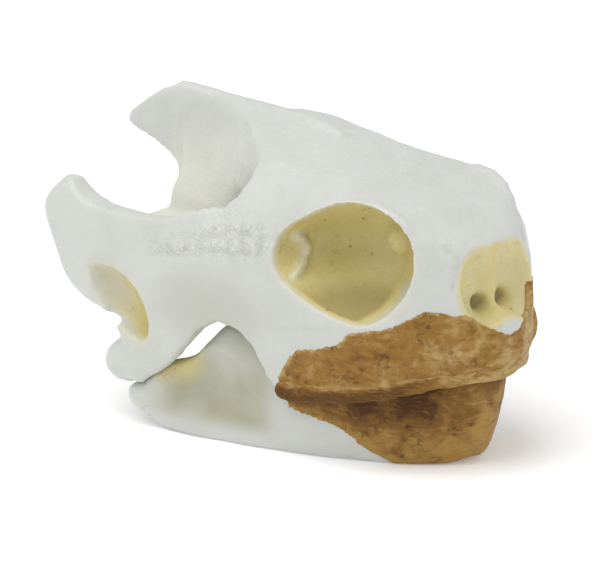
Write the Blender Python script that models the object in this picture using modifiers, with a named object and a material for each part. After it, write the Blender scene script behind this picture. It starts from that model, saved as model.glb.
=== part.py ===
"""A turtle skull with its lower jaw closed under it, and the horn beak still on both jaws, at life size.

The skull stands on its lower jaw. Its snout points to -Y, up is +Z, and x is across, with 0 on the
midline. The shapes are written in millimetres as (x, s, z): s runs backwards from the tip of the beak,
and z up from just below the surface that the jaw stands on. The finished pieces are scaled to metres and
moved so that the origin is at the bottom centre of the whole.
"""

import math

import bmesh
import bpy
from mathutils import Matrix, Vector

# Driving dimensions, in millimetres.
MM = 0.001
MIDDLE = 31.95
GAP = 0.3
HORN_GAP = 0.4
HORN = 1.15
EDGE_HORN = 2.6
WALL = 2.1
VOXEL = 0.55
FINE_VOXEL = 0.38
SMOOTH_ROUNDS = 4
CRANIUM_TRIANGLES = 7400
JAW_TRIANGLES = 2600
BEAK_TRIANGLES = 1500
RING_POINTS = 72
FAR = 30.0
FLAT = 0.35

# The head's outer form: s, half width, height of the widest line, roof, lower edge, and how square the
# section is above and below that line.
HEAD = [
    (0.0, 1.8, 16.6, 18.4, 13.4, 2.6, 2.3),
    (0.5, 3.2, 17.2, 20.8, 12.4, 2.8, 2.3),
    (1.2, 4.4, 17.8, 25.0, 11.9, 2.8, 2.4),
    (2.2, 5.8, 18.2, 28.0, 11.5, 3.0, 2.6),
    (4.0, 7.6, 18.2, 29.3, 11.0, 3.6, 3.2),
    (6.5, 9.9, 18.0, 30.3, 10.3, 4.4, 4.4),
    (10.5, 12.3, 17.8, 31.8, 8.9, 6.6, 6.0),
    (13.5, 13.3, 17.6, 32.6, 8.3, 6.6, 6.0),
    (16.0, 14.1, 17.5, 33.3, 7.9, 5.2, 6.0),
    (21.0, 15.3, 17.2, 34.4, 7.5, 3.3, 6.0),
    (26.0, 16.2, 17.0, 35.5, 7.2, 2.4, 6.0),
    (33.0, 17.6, 17.0, 36.5, 6.8, 2.1, 6.0),
    (39.0, 18.5, 17.0, 36.6, 6.0, 2.5, 6.0),
    (44.0, 19.1, 17.0, 36.6, 5.0, 3.0, 6.0),
    (49.0, 19.4, 17.5, 36.3, 11.8, 3.0, 6.0),
    (53.0, 19.6, 19.5, 35.8, 13.2, 3.0, 6.0),
    (56.0, 19.5, 21.5, 34.0, 15.0, 3.0, 6.0),
    (58.6, 19.1, 23.6, 31.0, 19.0, 2.6, 5.0),
    (60.4, 18.5, 24.6, 28.4, 21.8, 2.4, 3.4),
    (61.4, 17.0, 25.0, 26.8, 23.6, 2.2, 2.2),
]

# One side of the lower jaw, from the chin back: x, s of its middle line, lowest and highest point, half
# thickness, and how far its top leans outwards for each millimetre of height.
JAW = [
    (-1.2, 5.7, 1.0, 13.0, 1.9, 0.22),
    (0.0, 5.7, 1.0, 13.0, 1.9, 0.22),
    (1.9, 6.4, 0.6, 12.7, 1.9, 0.22),
    (3.9, 8.6, 0.1, 11.8, 1.9, 0.19),
    (6.4, 12.1, 0.0, 10.7, 1.9, 0.13),
    (8.8, 16.5, 0.0, 10.2, 1.9, 0.12),
    (10.8, 21.0, 0.0, 10.9, 1.8, 0.06),
    (12.4, 26.0, 0.0, 12.6, 1.7, 0.0),
    (13.7, 30.5, 0.0, 14.5, 1.6, -0.03),
    (14.3, 33.0, 0.0, 14.8, 1.5, -0.04),
    (14.8, 35.4, 0.0, 12.5, 1.7, -0.05),
    (15.2, 38.0, 0.0, 9.9, 1.9, -0.06),
    (15.7, 41.8, 0.3, 8.4, 2.3, 0.0),
    (15.9, 44.9, 1.6, 5.9, 2.0, 0.0),
]


def at(x, s, z):
    """A point of the head, in millimetres."""
    return Vector((x, s, z))


def between(table, s):
    """The row of a table at s, on a smooth curve through its rows."""
    rows = [table[0], *table, table[-1]]
    i = max(1, min(len(rows) - 3, sum(row[0] <= s for row in table)))
    before, low, high, after = rows[i - 1 : i + 3]
    t = (s - low[0]) / (high[0] - low[0])
    made = []
    for a, b, c, d in zip(before[1:], low[1:], high[1:], after[1:]):
        start = (2 * t**3 - 3 * t**2 + 1) * b + (t**3 - 2 * t**2 + t) * (c - a) / 2
        made.append(start + (3 * t**2 - 2 * t**3) * c + (t**3 - t**2) * (d - b) / 2)
    return made


def power(value, exponent):
    return math.copysign(abs(value) ** exponent, value)


def head_ring(s, depth=0.0):
    """The head's section at s, pulled in by depth on every side."""
    width, middle, roof, floor, square_up, square_down = between(HEAD, s)
    ring = []
    for k in range(RING_POINTS):
        angle = 2 * math.pi * k / RING_POINTS
        c, v = math.cos(angle), math.sin(angle)
        p = 2 / (square_up if v >= 0 else square_down)
        reach = (roof - depth - middle) if v >= 0 else (middle - floor - depth)
        ring.append(at(power(c, p) * (width - depth), s, middle + power(v, p) * max(reach, 0.2)))
    return ring


def stations(first, last, step=1.0):
    count = max(1, round((last - first) / step))
    return [first + (last - first) * k / count for k in range(count + 1)]


# Clay is one bmesh that holds closed forms which overlap, until fuse() makes them one surface.
def add_loft(clay, rings):
    """A closed form through rings that all have the same number of points."""
    made = [[clay.verts.new(p) for p in ring] for ring in rings]
    faces = []
    for one, two in zip(made, made[1:]):
        for k in range(len(one)):
            n = (k + 1) % len(one)
            faces.append(clay.faces.new((one[k], one[n], two[n], two[k])))
    faces.append(clay.faces.new(made[0][::-1]))
    faces.append(clay.faces.new(made[-1]))
    bmesh.ops.recalc_face_normals(clay, faces=faces)


def add_ball(clay, centre, radii, turn=(0.0, 0.0, 0.0)):
    """An ellipsoid, turned by degrees about x, y and z."""
    place = Matrix.Translation(centre)
    for degrees, axis in zip(turn, "XYZ"):
        place = place @ Matrix.Rotation(math.radians(degrees), 4, axis)
    place = place @ Matrix.Diagonal((*radii, 1.0))
    bmesh.ops.create_uvsphere(clay, u_segments=36, v_segments=20, radius=1.0, matrix=place)


def add_rod(clay, points, radii, sides=14):
    """A round bar through points, with a radius at each."""
    rings = []
    for k, point in enumerate(points):
        along = (points[min(k + 1, len(points) - 1)] - points[max(k - 1, 0)]).normalized()
        side = along.orthogonal().normalized()
        other = along.cross(side)
        turns = [2 * math.pi * n / sides for n in range(sides)]
        rings.append([point + (side * math.cos(a) + other * math.sin(a)) * radii[k] for a in turns])
    add_loft(clay, rings)


def add_slab(clay, outline, low, high, across="z"):
    """A flat outline made thick: (x, s) points from low to high in z, or (s, z) points in x."""
    if across == "z":
        rings = [[at(x, s, z) for x, s in outline] for z in (low, high)]
    else:
        rings = [[at(x, s, z) for s, z in outline] for x in (low, high)]
    add_loft(clay, rings)


def mirrored(clay):
    """Adds the other side's copy of everything in the clay."""
    copy = clay.copy()
    bmesh.ops.scale(copy, vec=(-1, 1, 1), verts=copy.verts)
    bmesh.ops.reverse_faces(copy, faces=copy.faces)
    spare = bpy.data.meshes.new("copy")
    copy.to_mesh(spare)
    clay.from_mesh(spare)
    copy.free()
    bpy.data.meshes.remove(spare)
    return clay


def pour(clay, more):
    """Adds another clay's forms to this one."""
    spare = bpy.data.meshes.new("more")
    more.to_mesh(spare)
    more.free()
    clay.from_mesh(spare)
    bpy.data.meshes.remove(spare)


def made(name, mesh):
    obj = bpy.data.objects.new(name, mesh)
    bpy.context.scene.collection.objects.link(obj)
    return obj


def with_modifiers(obj):
    """The object's mesh with its modifiers applied. The object is removed."""
    bpy.context.view_layer.update()
    graph = bpy.context.evaluated_depsgraph_get()
    mesh = bpy.data.meshes.new_from_object(obj.evaluated_get(graph))
    bpy.data.objects.remove(obj)
    return mesh


def fuse(clay, voxel=VOXEL):
    """One closed surface round all the forms of the clay."""
    mesh = bpy.data.meshes.new("clay")
    clay.to_mesh(mesh)
    clay.free()
    obj = made("clay", mesh)
    remesh = obj.modifiers.new("fuse", "REMESH")
    remesh.mode = "VOXEL"
    remesh.voxel_size = voxel
    return with_modifiers(obj)


def combine(mesh, other, operation):
    """The Boolean of two closed meshes."""
    obj, tool = made("piece", mesh.copy()), made("tool", other)
    boolean = obj.modifiers.new("cut", "BOOLEAN")
    boolean.operation = operation
    boolean.solver = "MANIFOLD"
    boolean.object = tool
    result = with_modifiers(obj)
    bpy.data.objects.remove(tool)
    return result


def carve(mesh, *cutters):
    for cutter in cutters:
        mesh = combine(mesh, fuse(cutter), "DIFFERENCE")
    return mesh


def clay_of(mesh):
    clay = bmesh.new()
    clay.from_mesh(mesh)
    return clay


def smoothed(mesh, rounds=SMOOTH_ROUNDS):
    obj = made("smooth", mesh)
    smooth = obj.modifiers.new("smooth", "SMOOTH")
    smooth.factor = 0.5
    smooth.iterations = rounds
    return with_modifiers(obj)


def thinned(mesh, triangles):
    """The same surface with about that many triangles."""
    obj = made("thin", mesh)
    obj.modifiers.new("triangles", "TRIANGULATE")
    decimate = obj.modifiers.new("thin", "DECIMATE")
    decimate.ratio = min(1.0, triangles / (2 * len(mesh.polygons)))
    decimate.use_collapse_triangulate = True
    return with_modifiers(obj)


def largest(mesh):
    """The mesh with only its largest closed surface."""
    clay = clay_of(mesh)
    clay.verts.ensure_lookup_table()
    seen, groups = set(), []
    for start in clay.verts:
        if start in seen:
            continue
        group, waiting = [], [start]
        seen.add(start)
        while waiting:
            vert = waiting.pop()
            group.append(vert)
            for edge in vert.link_edges:
                other = edge.other_vert(vert)
                if other not in seen:
                    seen.add(other)
                    waiting.append(other)
        groups.append(group)
    groups.sort(key=len)
    bmesh.ops.delete(clay, geom=[v for group in groups[:-1] for v in group], context="VERTS")
    clay.to_mesh(mesh)
    clay.free()
    return mesh


def shrunk(outline, places, centre):
    """Rings across the head from an outline of (s, z) points: each place is x and a scale."""
    s0, z0 = centre
    rings = []
    for x, scale in places:
        rings.append([at(x, s0 + (s - s0) * scale, z0 + (z - z0) * scale) for s, z in outline])
    return rings


# The eye sockets: the rim's oval on the side of the head, and the bowl behind it.
EYE_RIM = [
    (24.5, 25.4), (24.4, 27.0), (23.4, 28.4), (21.4, 29.9), (19.3, 31.2), (17.7, 32.0), (16.2, 32.4),
    (14.4, 32.5), (12.5, 32.4), (10.5, 31.8), (8.9, 30.8), (7.7, 29.4), (6.9, 27.8), (6.7, 25.9),
    (7.0, 24.0), (8.0, 22.1), (9.6, 20.3), (11.5, 19.1), (13.5, 18.8), (15.5, 19.2), (18.2, 20.1),
    (20.7, 21.3), (22.8, 22.6), (24.1, 23.9),
]


def eye_sockets():
    clay = bmesh.new()
    depths = [
        (24.0, 1.09), (13.0, 1.04), (11.4, 1.02), (9.8, 0.98), (8.2, 0.91), (6.8, 0.82), (5.6, 0.7),
        (4.7, 0.55), (4.1, 0.38), (3.8, 0.2),
    ]
    add_loft(clay, shrunk(EYE_RIM, depths, (15.2, 26.0)))
    return mirrored(clay)


# Inside each eye socket: a low hooked ridge on the wall behind, and a fold on the wall in front.
REAR_RIDGE = [
    (11.7, 24.3, 26.9), (10.8, 24.0, 26.4), (10.3, 23.8, 25.6), (10.4, 23.6, 24.7), (11.0, 23.4, 23.9),
    (12.2, 23.1, 23.2), (13.4, 22.7, 22.6),
]


def eye_ridges(clay):
    half = bmesh.new()
    add_rod(half, [at(*point) for point in REAR_RIDGE], [0.5, 0.7, 0.65, 0.6, 0.55, 0.5, 0.4])
    add_ball(half, at(4.4, 13.7, 27.4), (1.7, 2.1, 2.1))
    pour(clay, mirrored(half))


# The beak swells out in front, below the nose, and has a thick lower edge along each side.
def beak_swelling(clay):
    half = bmesh.new()
    band = [
        at(-1.0, 4.1, 16.2), at(1.0, 4.1, 16.2), at(3.4, 4.8, 16.2), at(6.0, 6.7, 16.0),
        at(8.1, 9.8, 15.2), at(9.5, 14.0, 14.2),
    ]
    add_rod(half, band, [3.9, 3.9, 3.9, 3.8, 3.8, 3.7], 24)
    edge = [
        at(-1.0, 1.7, 13.0), at(1.0, 1.7, 13.0), at(3.6, 2.6, 12.8), at(6.2, 4.5, 12.3),
        at(8.6, 7.2, 11.6), at(11.2, 11.3, 10.5), at(12.9, 16.0, 9.5), at(14.1, 20.5, 8.8),
        at(14.9, 24.2, 8.2),
    ]
    add_rod(half, edge, [0.8, 0.8, 0.9, 1.0, 1.1, 1.15, 1.2, 1.1, 0.8])
    pour(clay, mirrored(half))


# The raised upper rim of each eye socket.
def brows(clay):
    half = bmesh.new()
    line = [
        at(8.6, 8.4, 30.0), at(9.2, 10.6, 31.4), at(9.8, 13.0, 32.0), at(10.6, 16.0, 32.0),
        at(11.8, 19.0, 30.9), at(13.0, 22.0, 28.9),
    ]
    add_rod(half, line, [0.7, 0.95, 1.05, 1.05, 0.95, 0.7])
    pour(clay, mirrored(half))


# The hollow for the jaw muscles, from behind the eye to the ear, open below.
def muscle_hollows():
    clay = bmesh.new()
    rings = []
    for s in stations(30.0, 43.4):
        round_off = 0.8 * (math.exp(-(s - 30.0)) + math.exp(-(43.4 - s)))
        ring = [p for p in head_ring(s, WALL + round_off) if p.x >= 5.2 and p.z >= 17.0]
        ring.sort(key=lambda p: math.atan2(p.z - 17.0, p.x))
        widest, top = ring[0].x, ring[-1].z
        steps = [math.pi / 2 * k / 15 for k in range(16)]
        square = between(HEAD, s)[4]
        reach = [power(math.cos(a), 2 / square) for a in steps]
        lift = [power(math.sin(a), 2 / square) for a in steps]
        arc = [(5.2 + (widest - 5.2) * r, 17.0 + (top - 17.0) * v) for r, v in zip(reach, lift)]
        lean = 3.4 * (43.4 - s) / 13.4
        ring = [(5.2, -4.0), (widest, -4.0), *arc]
        rings.append([at(x, s + lean * min(1.0, max(0.0, (z - 19.0) / 9.0)), z) for x, z in ring])
    add_loft(clay, rings)
    return mirrored(clay)


# The gap in the back of the roof, seen from above: it leaves the arch over the ear at the side.
def roof_gaps():
    clay = bmesh.new()
    outline = [
        (1.2, 48.0), (1.6, 44.0), (3.0, 40.9), (4.8, 39.2), (6.4, 37.0), (7.6, 34.8), (9.0, 33.3),
        (11.0, 32.7), (12.8, 32.9), (14.2, 34.2), (15.0, 36.5), (15.4, 40.0), (15.6, 46.0), (15.6, 52.0),
        (15.4, 56.0), (15.0, 70.0), (1.2, 70.0),
    ]
    add_slab(clay, outline, 22.4, 60.0)
    top_edge = [
        (35.6, 29.6), (37.0, 28.5), (39.0, 27.4), (41.5, 26.7), (44.0, 26.4), (48.0, 26.4), (51.0, 26.5),
        (53.2, 26.9), (54.9, 27.7), (56.4, 28.8), (58.4, 28.5), (60.2, 26.8), (61.6, 25.0),
        (70.0, 25.0), (70.0, 60.0), (35.6, 60.0),
    ]
    add_slab(clay, top_edge, 11.5, 30.0, across="x")
    return mirrored(clay)


# Behind the brain case, between the two ear lobes, with a deeper hollow below each side bar.
def back_hollow():
    clay = bmesh.new()
    outline = [
        (0.0, 55.4), (7.0, 54.8), (12.4, 53.8), (14.2, 54.6), (15.8, 57.6), (16.2, 60.0), (15.8, 70.0),
        (0.0, 70.0),
    ]
    add_slab(clay, outline, -5.0, 60.0)
    add_ball(clay, at(11.0, 54.4, 15.4), (3.4, 4.2, 2.3))
    add_ball(clay, at(4.9, 56.0, 14.4), (1.9, 3.0, 1.7))
    return mirrored(clay)


# The open lower edge of the cheek, seen from the side.
def cheek_gaps():
    clay = bmesh.new()
    arch = [
        (24.4, -5.0), (24.7, 7.0), (25.5, 10.6), (27.2, 13.6), (29.6, 15.4), (32.4, 15.7), (34.8, 14.4),
        (37.0, 11.9), (39.4, 9.2), (42.0, 7.0), (44.0, 5.4), (44.2, -5.0),
    ]
    add_slab(clay, arch, 7.5, 30.0, across="x")
    return mirrored(clay)


# The mouth's roof and the throat: everything under the palate and between the jaw edges.
def mouth():
    clay = bmesh.new()
    half_widths = [
        (3.4, 3.0), (5.0, 5.6), (7.5, 8.0), (11.0, 10.0), (16.0, 11.6), (21.0, 12.7), (25.0, 13.4),
        (36.0, 14.0), (44.0, 13.2), (50.0, 12.8), (70.0, 12.8),
    ]
    for side in (-1, 1):
        add_ball(clay, at(3.1 * side, 15.0, 13.4), (1.7, 4.2, 2.6))
    rings = []
    top = 13.4
    for s in (3.4, 4.2, 5.0, 6.2, 7.5, *stations(9.0, 21.0, 2.4), 25.0, 30.0, 36.0, 44.0, 50.0, 60.0, 70.0):
        half = between(half_widths, s)[0]
        ring = [(-half, -5.0), (half, -5.0), (half, top - 2.0), (half - 1.6, top - 0.4), (0.0, top)]
        rings.append([at(x, s, z) for x, z in [*ring, (1.6 - half, top - 0.4), (-half, top - 2.0)]])
    add_loft(clay, rings)
    return clay


# The nose opening: a shallow bowl on each side of the low wall between them, with a round passage at its
# foot.
NOSE, NOSE_RADII = at(2.9, 1.2, 23.6), (3.5, 3.0, 4.7)
PASSAGE, PASSAGE_RADII = at(1.75, 3.9, 20.6), (1.35, 2.6, 1.35)


def nose_opening():
    clay = bmesh.new()
    add_ball(clay, NOSE, NOSE_RADII, (-8, 0, 0))
    add_ball(clay, PASSAGE, PASSAGE_RADII)
    add_ball(clay, at(0.0, 0.9, 24.0), (3.8, 2.2, 4.5), (-8, 0, 0))
    return mirrored(clay)


# The ear: a slanting oval bowl, open behind through a notch above the jaw joint.
EAR_RIM = [
    (51.0, 16.8), (51.8, 18.4), (51.7, 19.6), (49.8, 20.0), (47.5, 19.8), (45.4, 18.9), (43.8, 17.5), (42.8, 16.1),
    (42.2, 14.8), (41.9, 13.5), (42.0, 12.3), (42.5, 11.3), (43.5, 10.9), (44.8, 11.2), (46.4, 12.2), (48.2, 13.0),
    (49.9, 14.7),
]


def ear_hollows():
    clay = bmesh.new()
    depths = [(26.0, 1.05), (19.7, 1.0), (18.5, 0.9), (17.6, 0.76), (17.0, 0.56), (16.6, 0.3)]
    add_loft(clay, shrunk(EAR_RIM, depths, (44.6, 13.2)))
    add_ball(clay, at(17.6, 51.1, 11.1), (3.6, 2.8, 2.2), (-8, 0, 0))
    add_ball(clay, at(17.4, 53.0, 11.1), (4.6, 3.0, 1.6), (-12, 0, 0))
    add_ball(clay, at(18.6, 49.6, 12.2), (3.0, 1.9, 1.2))
    return mirrored(clay)


# The brain case, narrowing upwards into the crest.
def brain_case(clay):
    rows = [
        (25.5, 8.8, 9.6, 10.0, 5.6, 34.2), (30.0, 8.6, 9.4, 9.8, 5.6, 35.0),
        (34.0, 7.9, 8.9, 9.0, 5.6, 35.4), (36.0, 7.0, 8.2, 8.2, 5.7, 35.6),
        (38.0, 5.6, 6.9, 7.2, 5.8, 35.9), (40.0, 4.1, 5.4, 6.0, 6.0, 36.2),
        (43.0, 2.3, 3.4, 4.6, 6.4, 36.7), (48.0, 1.2, 1.9, 3.2, 6.0, 37.0),
        (53.4, 1.0, 1.2, 1.8, 4.6, 36.8),
    ]
    rings = []
    for s in stations(25.5, 53.4):
        top, upper, middle, low, roof = between(rows, s)
        half = [(top * 0.6, roof), (top, roof - 0.7), (upper, 32.6), (middle, 28.6)]
        half += [(max(low * 0.9, middle * 0.8), 25.0), (low, 22.0), (low, 15.0), (low * 0.7, 13.0)]
        rings.append([at(x, s, z) for x, z in half] + [at(-x, s, z) for x, z in half[::-1]])
    add_loft(clay, rings)


# The crest's blade, drawn from the side.
def crest(clay):
    blade = [
        (26.0, 35.0), (30.0, 36.2), (33.0, 36.9), (36.0, 37.2), (44.0, 37.4), (52.0, 37.3), (55.6, 37.0),
        (58.4, 36.0), (61.2, 34.2), (63.6, 32.4), (64.2, 31.4), (64.0, 30.6), (62.4, 30.0), (59.6, 29.3),
        (57.0, 28.2), (55.1, 26.9), (53.9, 25.4), (53.4, 23.8), (53.2, 22.0), (44.0, 22.0), (36.0, 28.0),
        (26.0, 33.0),
    ]
    add_slab(clay, blade, -0.95, 0.95, across="x")
    rail = []
    for s in stations(28.0, 56.0, 2.0):
        rail.append(at(0.0, s, 36.5 - 0.02 * max(0.0, 34.0 - s) ** 2 - 0.012 * max(0.0, s - 52.0) ** 2))
    add_rod(clay, rail, [0.7, 0.8, 0.95] + [1.1] * (len(rail) - 3))


# The ear capsule: a thick bar from the brain case out to the arch, with a step at its front for the
# muscle.
def ear_capsules(clay):
    half = bmesh.new()
    add_rod(half, [at(2.0, 48.5, 18.5), at(8.0, 48.8, 18.6), at(15.0, 49.0, 18.5)], [4.6, 4.3, 4.6], 20)
    add_ball(half, at(9.0, 44.6, 19.5), (4.6, 2.6, 2.6))
    add_rod(half, [at(4.0, 52.0, 19.5), at(9.0, 52.8, 20.2), at(15.6, 53.6, 21.0)], [2.6, 2.2, 2.4])
    add_rod(half, [at(4.0, 41.0, 14.6), at(9.0, 43.0, 14.6), at(14.6, 45.0, 13.4)], [1.6, 1.5, 2.2])
    pour(clay, mirrored(half))


JOINT = at(16.3, 47.6, 7.7)
JOINT_RADII = (3.4, 2.8, 2.8)


# The keel under the brain case and the ridges that lead from it to the jaw joints.
def palate_ridges(clay):
    half = bmesh.new()
    keel = [at(0.0, 20.0, 13.8), at(0.0, 36.0, 13.2), at(0.0, 48.0, 13.4), at(0.0, 54.0, 14.6)]
    add_rod(half, keel, [0.8, 1.3, 2.0, 1.6])
    edge = [
        at(6.4, 26.0, 13.9), at(4.8, 34.0, 13.7), at(6.4, 39.0, 13.6), at(10.2, 42.4, 12.8),
        at(12.6, 44.0, 11.2),
    ]
    add_rod(half, edge, [1.0, 1.1, 1.1, 1.2, 1.3])
    add_ball(half, at(4.6, 50.5, 13.4), (2.4, 3.0, 1.3))
    pour(clay, mirrored(half))


# The bone that carries the jaw joint, below the ear.
def joint_columns(clay):
    half = bmesh.new()
    add_ball(half, JOINT, JOINT_RADII)
    add_rod(half, [at(16.4, 47.0, 8.2), at(16.3, 45.4, 11.0), at(16.2, 44.0, 15.0)], [2.6, 2.3, 2.2])
    outer = [at(17.0, 48.4, 8.6), at(17.1, 46.6, 8.0), at(17.2, 44.6, 7.6), at(16.9, 43.0, 9.0)]
    add_rod(half, outer, [2.0, 2.5, 2.3, 1.8])
    inner = [at(15.0, 47.0, 8.6), at(12.6, 44.8, 8.4), at(12.2, 43.4, 9.6), at(13.4, 43.0, 13.0)]
    add_rod(half, inner, [1.8, 1.2, 1.1, 1.4])
    add_rod(half, [at(16.0, 50.0, 21.5), at(17.2, 53.4, 18.5), at(17.4, 52.4, 15.0)], [3.0, 2.2, 1.5])
    pour(clay, mirrored(half))


# The knob behind, on which the neck turns.
def neck_knob(clay):
    add_ball(clay, at(0.0, 53.0, 20.3), (4.0, 2.4, 3.5))
    add_ball(clay, at(0.0, 55.3, 16.4), (2.3, 2.4, 1.9))
    add_ball(clay, at(0.0, 52.0, 16.0), (4.2, 4.4, 2.8))


def neck_opening():
    clay = bmesh.new()
    add_ball(clay, at(0.0, 56.0, 20.8), (2.6, 5.6, 2.4))
    return clay


def cranium_form():
    """The skull without its lower jaw, bone and horn together."""
    clay = bmesh.new()
    add_loft(clay, [head_ring(s) for s in stations(0.0, 60.6, 0.8)])
    mesh = fuse(clay)
    mesh = carve(mesh, muscle_hollows(), roof_gaps(), back_hollow())
    mesh = carve(mesh, cheek_gaps(), mouth(), nose_opening())
    clay = clay_of(mesh)
    beak_swelling(clay)
    brain_case(clay)
    crest(clay)
    ear_capsules(clay)
    joint_columns(clay)
    palate_ridges(clay)
    neck_knob(clay)
    brows(clay)
    mesh = fuse(clay)
    clay = clay_of(carve(mesh, eye_sockets(), ear_hollows(), neck_opening()))
    eye_ridges(clay)
    return smoothed(fuse(clay))


def jaw_ring(row, tangent, grow=0.0, drop=0.0):
    """One section across the jaw, square to its line. grow thickens it, and drop lowers its top."""
    x, s, low, high, half, lean = row
    out = Vector((-tangent.y, tangent.x, 0.0)).normalized()
    if out.x * max(x, 0.0) < 0 or (x <= 0 and out.y > 0):
        out = -out
    high = high + grow - drop
    low = low - grow
    middle, reach = (low + high) / 2, (high - low) / 2
    ring = []
    for k in range(28):
        angle = 2 * math.pi * k / 28
        across = power(math.cos(angle), 2 / 2.8) * (half + grow)
        up = power(math.sin(angle), 2 / 2.8) * reach
        ring.append(at(x, s, middle + up) + out * (across + lean * up))
    return ring


def jaw_sides(grow=0.0, drop=0.0):
    """One side of the lower jaw and its mirror image."""
    clay = bmesh.new()
    marks = [(k, *row) for k, row in enumerate(JAW)]
    rows = [between(marks, k / 6) for k in range((len(JAW) - 1) * 6 + 1)]
    rings = []
    for k, row in enumerate(rows):
        one, two = rows[max(k - 1, 0)], rows[min(k + 1, len(rows) - 1)]
        tangent = Vector((two[0] - one[0], two[1] - one[1], 0.0))
        rings.append(jaw_ring(row, tangent, grow, drop))
    add_loft(clay, rings)
    return mirrored(clay)


# The shelf that joins the two sides at the chin, the joint's cup at the back, and each side's hollows.
def jaw_form():
    clay = jaw_sides()
    shelf = [
        (-7.4, 14.4), (-4.4, 9.6), (0.0, 6.8), (4.4, 9.6), (7.4, 14.4), (4.4, 13.4), (0.0, 12.8),
        (-4.4, 13.4),
    ]
    add_slab(clay, shelf, 1.7, 7.4)
    rears = bmesh.new()
    add_ball(rears, at(15.9, 44.2, 3.9), (2.9, 3.2, 2.3))
    add_ball(rears, at(13.6, 42.0, 5.0), (1.9, 3.4, 1.9))
    pour(clay, mirrored(rears))
    cups = bmesh.new()
    add_ball(cups, JOINT, tuple(r + GAP + 0.1 for r in JOINT_RADII))
    troughs = bmesh.new()
    add_ball(troughs, at(12.6, 37.5, 6.6), (1.3, 5.0, 2.6), (0, 0, 4))
    dishes = bmesh.new()
    add_ball(dishes, at(18.2, 34.2, 8.4), (3.3, 8.2, 5.7), (4, 0, -9))
    mesh = carve(fuse(clay), mirrored(cups), mirrored(troughs), mirrored(dishes))
    return smoothed(fuse(clay_of(mesh)), SMOOTH_ROUNDS - 1)


# Where each horn's edge runs over its jaw, from the middle to the corner of the mouth: x, s and z on the
# surface.
UPPER_LINE = [
    (0.0, 0.4, 17.6), (1.6, 0.6, 18.0), (3.1, 1.1, 18.9), (4.6, 1.7, 20.0), (6.2, 2.7, 20.5),
    (7.8, 3.9, 20.9), (9.2, 5.4, 20.9), (10.3, 6.8, 20.2), (11.2, 8.2, 19.3), (11.9, 9.6, 18.5),
    (12.8, 11.9, 18.0), (13.5, 14.0, 17.5), (13.7, 14.8, 16.0), (14.3, 17.4, 15.2), (14.8, 20.2, 14.5),
    (15.2, 21.5, 13.4), (15.4, 22.6, 11.8), (15.6, 23.9, 10.1), (15.8, 24.9, 8.4), (15.9, 25.6, 6.6),
]
LOWER_LINE = [
    (0.0, 8.4, -4.0), (2.5, 8.9, -4.0), (5.0, 10.6, -2.4), (7.6, 13.0, 0.6), (9.1, 15.0, 2.2),
    (11.0, 17.0, 4.1), (12.3, 20.1, 5.3), (13.3, 23.0, 5.9), (13.7, 24.1, 6.8), (13.7, 24.2, 7.6),
    (13.5, 23.7, 9.0), (13.2, 23.2, 14.0),
]
HORN_CENTRE = 14.0


def collar(line, upper, grow=0.0):
    """The space that one horn takes round its jaw, out of a line up the middle of the mouth."""
    rings = []
    for x, s, z in [(-x, s, z) for x, s, z in line[:0:-1]] + line:
        reach = Vector((x, s - HORN_CENTRE))
        out = reach * (1 + 6.0 / reach.length)
        inside = reach * 0.1
        low, high = (-8.0, z + grow) if upper else (z - grow, 26.0)
        shift = grow if s > HORN_CENTRE else 0.0
        ring = [(out, low), (out, high), (inside, high), (inside, low)]
        rings.append([at(p.x, HORN_CENTRE + p.y + shift, height) for p, height in ring])
    clay = bmesh.new()
    add_loft(clay, rings)
    return clay


def upper_core(depth):
    """The bone inside the upper horn."""
    clay = bmesh.new()
    rings = []
    for s in stations(depth * 0.9, 40.0, 0.8):
        ring = head_ring(s, depth)
        floor = between(HEAD, s)[3] + EDGE_HORN + depth - HORN
        rings.append([at(p.x, p.y, max(p.z, floor)) for p in ring])
    add_loft(clay, rings)
    return clay


def lower_core(depth):
    """The bone inside the lower horn."""
    return jaw_sides(grow=-depth, drop=EDGE_HORN - 1.0)


def split(mesh, line, core, upper):
    """The horn and the bone of one jaw, with the gap between them."""
    horn_space = combine(fuse(collar(line, upper), 0.5), fuse(core(HORN), 0.5), "DIFFERENCE")
    wide_core = fuse(core(HORN + HORN_GAP), 0.5)
    wide_space = combine(fuse(collar(line, upper, HORN_GAP), 0.5), wide_core, "DIFFERENCE")
    horn = combine(mesh, horn_space, "INTERSECT")
    bone = combine(mesh, wide_space, "DIFFERENCE")
    return largest(horn), largest(bone)


def material(name, colour, roughness):
    made_material = bpy.data.materials.new(name)
    made_material.use_nodes = True
    shader = made_material.node_tree.nodes["Principled BSDF"]
    shader.inputs["Base Color"].default_value = (*colour, 1.0)
    shader.inputs["Roughness"].default_value = roughness
    shader.inputs["Metallic"].default_value = 0.0
    return made_material


def place(name, mesh, lift, finish, collection):
    """The finished piece in metres, with the origin under the middle of the whole."""
    mesh.transform(Matrix.Scale(MM, 4) @ Matrix.Translation((0.0, -MIDDLE, lift)))
    mesh.name = name
    mesh.materials.clear()
    mesh.materials.append(finish)
    mesh.shade_smooth()
    obj = bpy.data.objects.new(name, mesh)
    collection.objects.link(obj)


def finished(mesh, triangles):
    """The piece with an even skin, its sharpest edges rounded, and about that many triangles."""
    return largest(thinned(smoothed(fuse(clay_of(mesh), FINE_VOXEL), 1), triangles))


def swollen(mesh, amount):
    """The form with its skin moved outwards."""
    obj = made("swollen", mesh.copy())
    displace = obj.modifiers.new("out", "DISPLACE")
    displace.strength = amount
    displace.mid_level = 0.0
    grown = with_modifiers(obj)
    return fuse(clay_of(grown), FINE_VOXEL)


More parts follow.
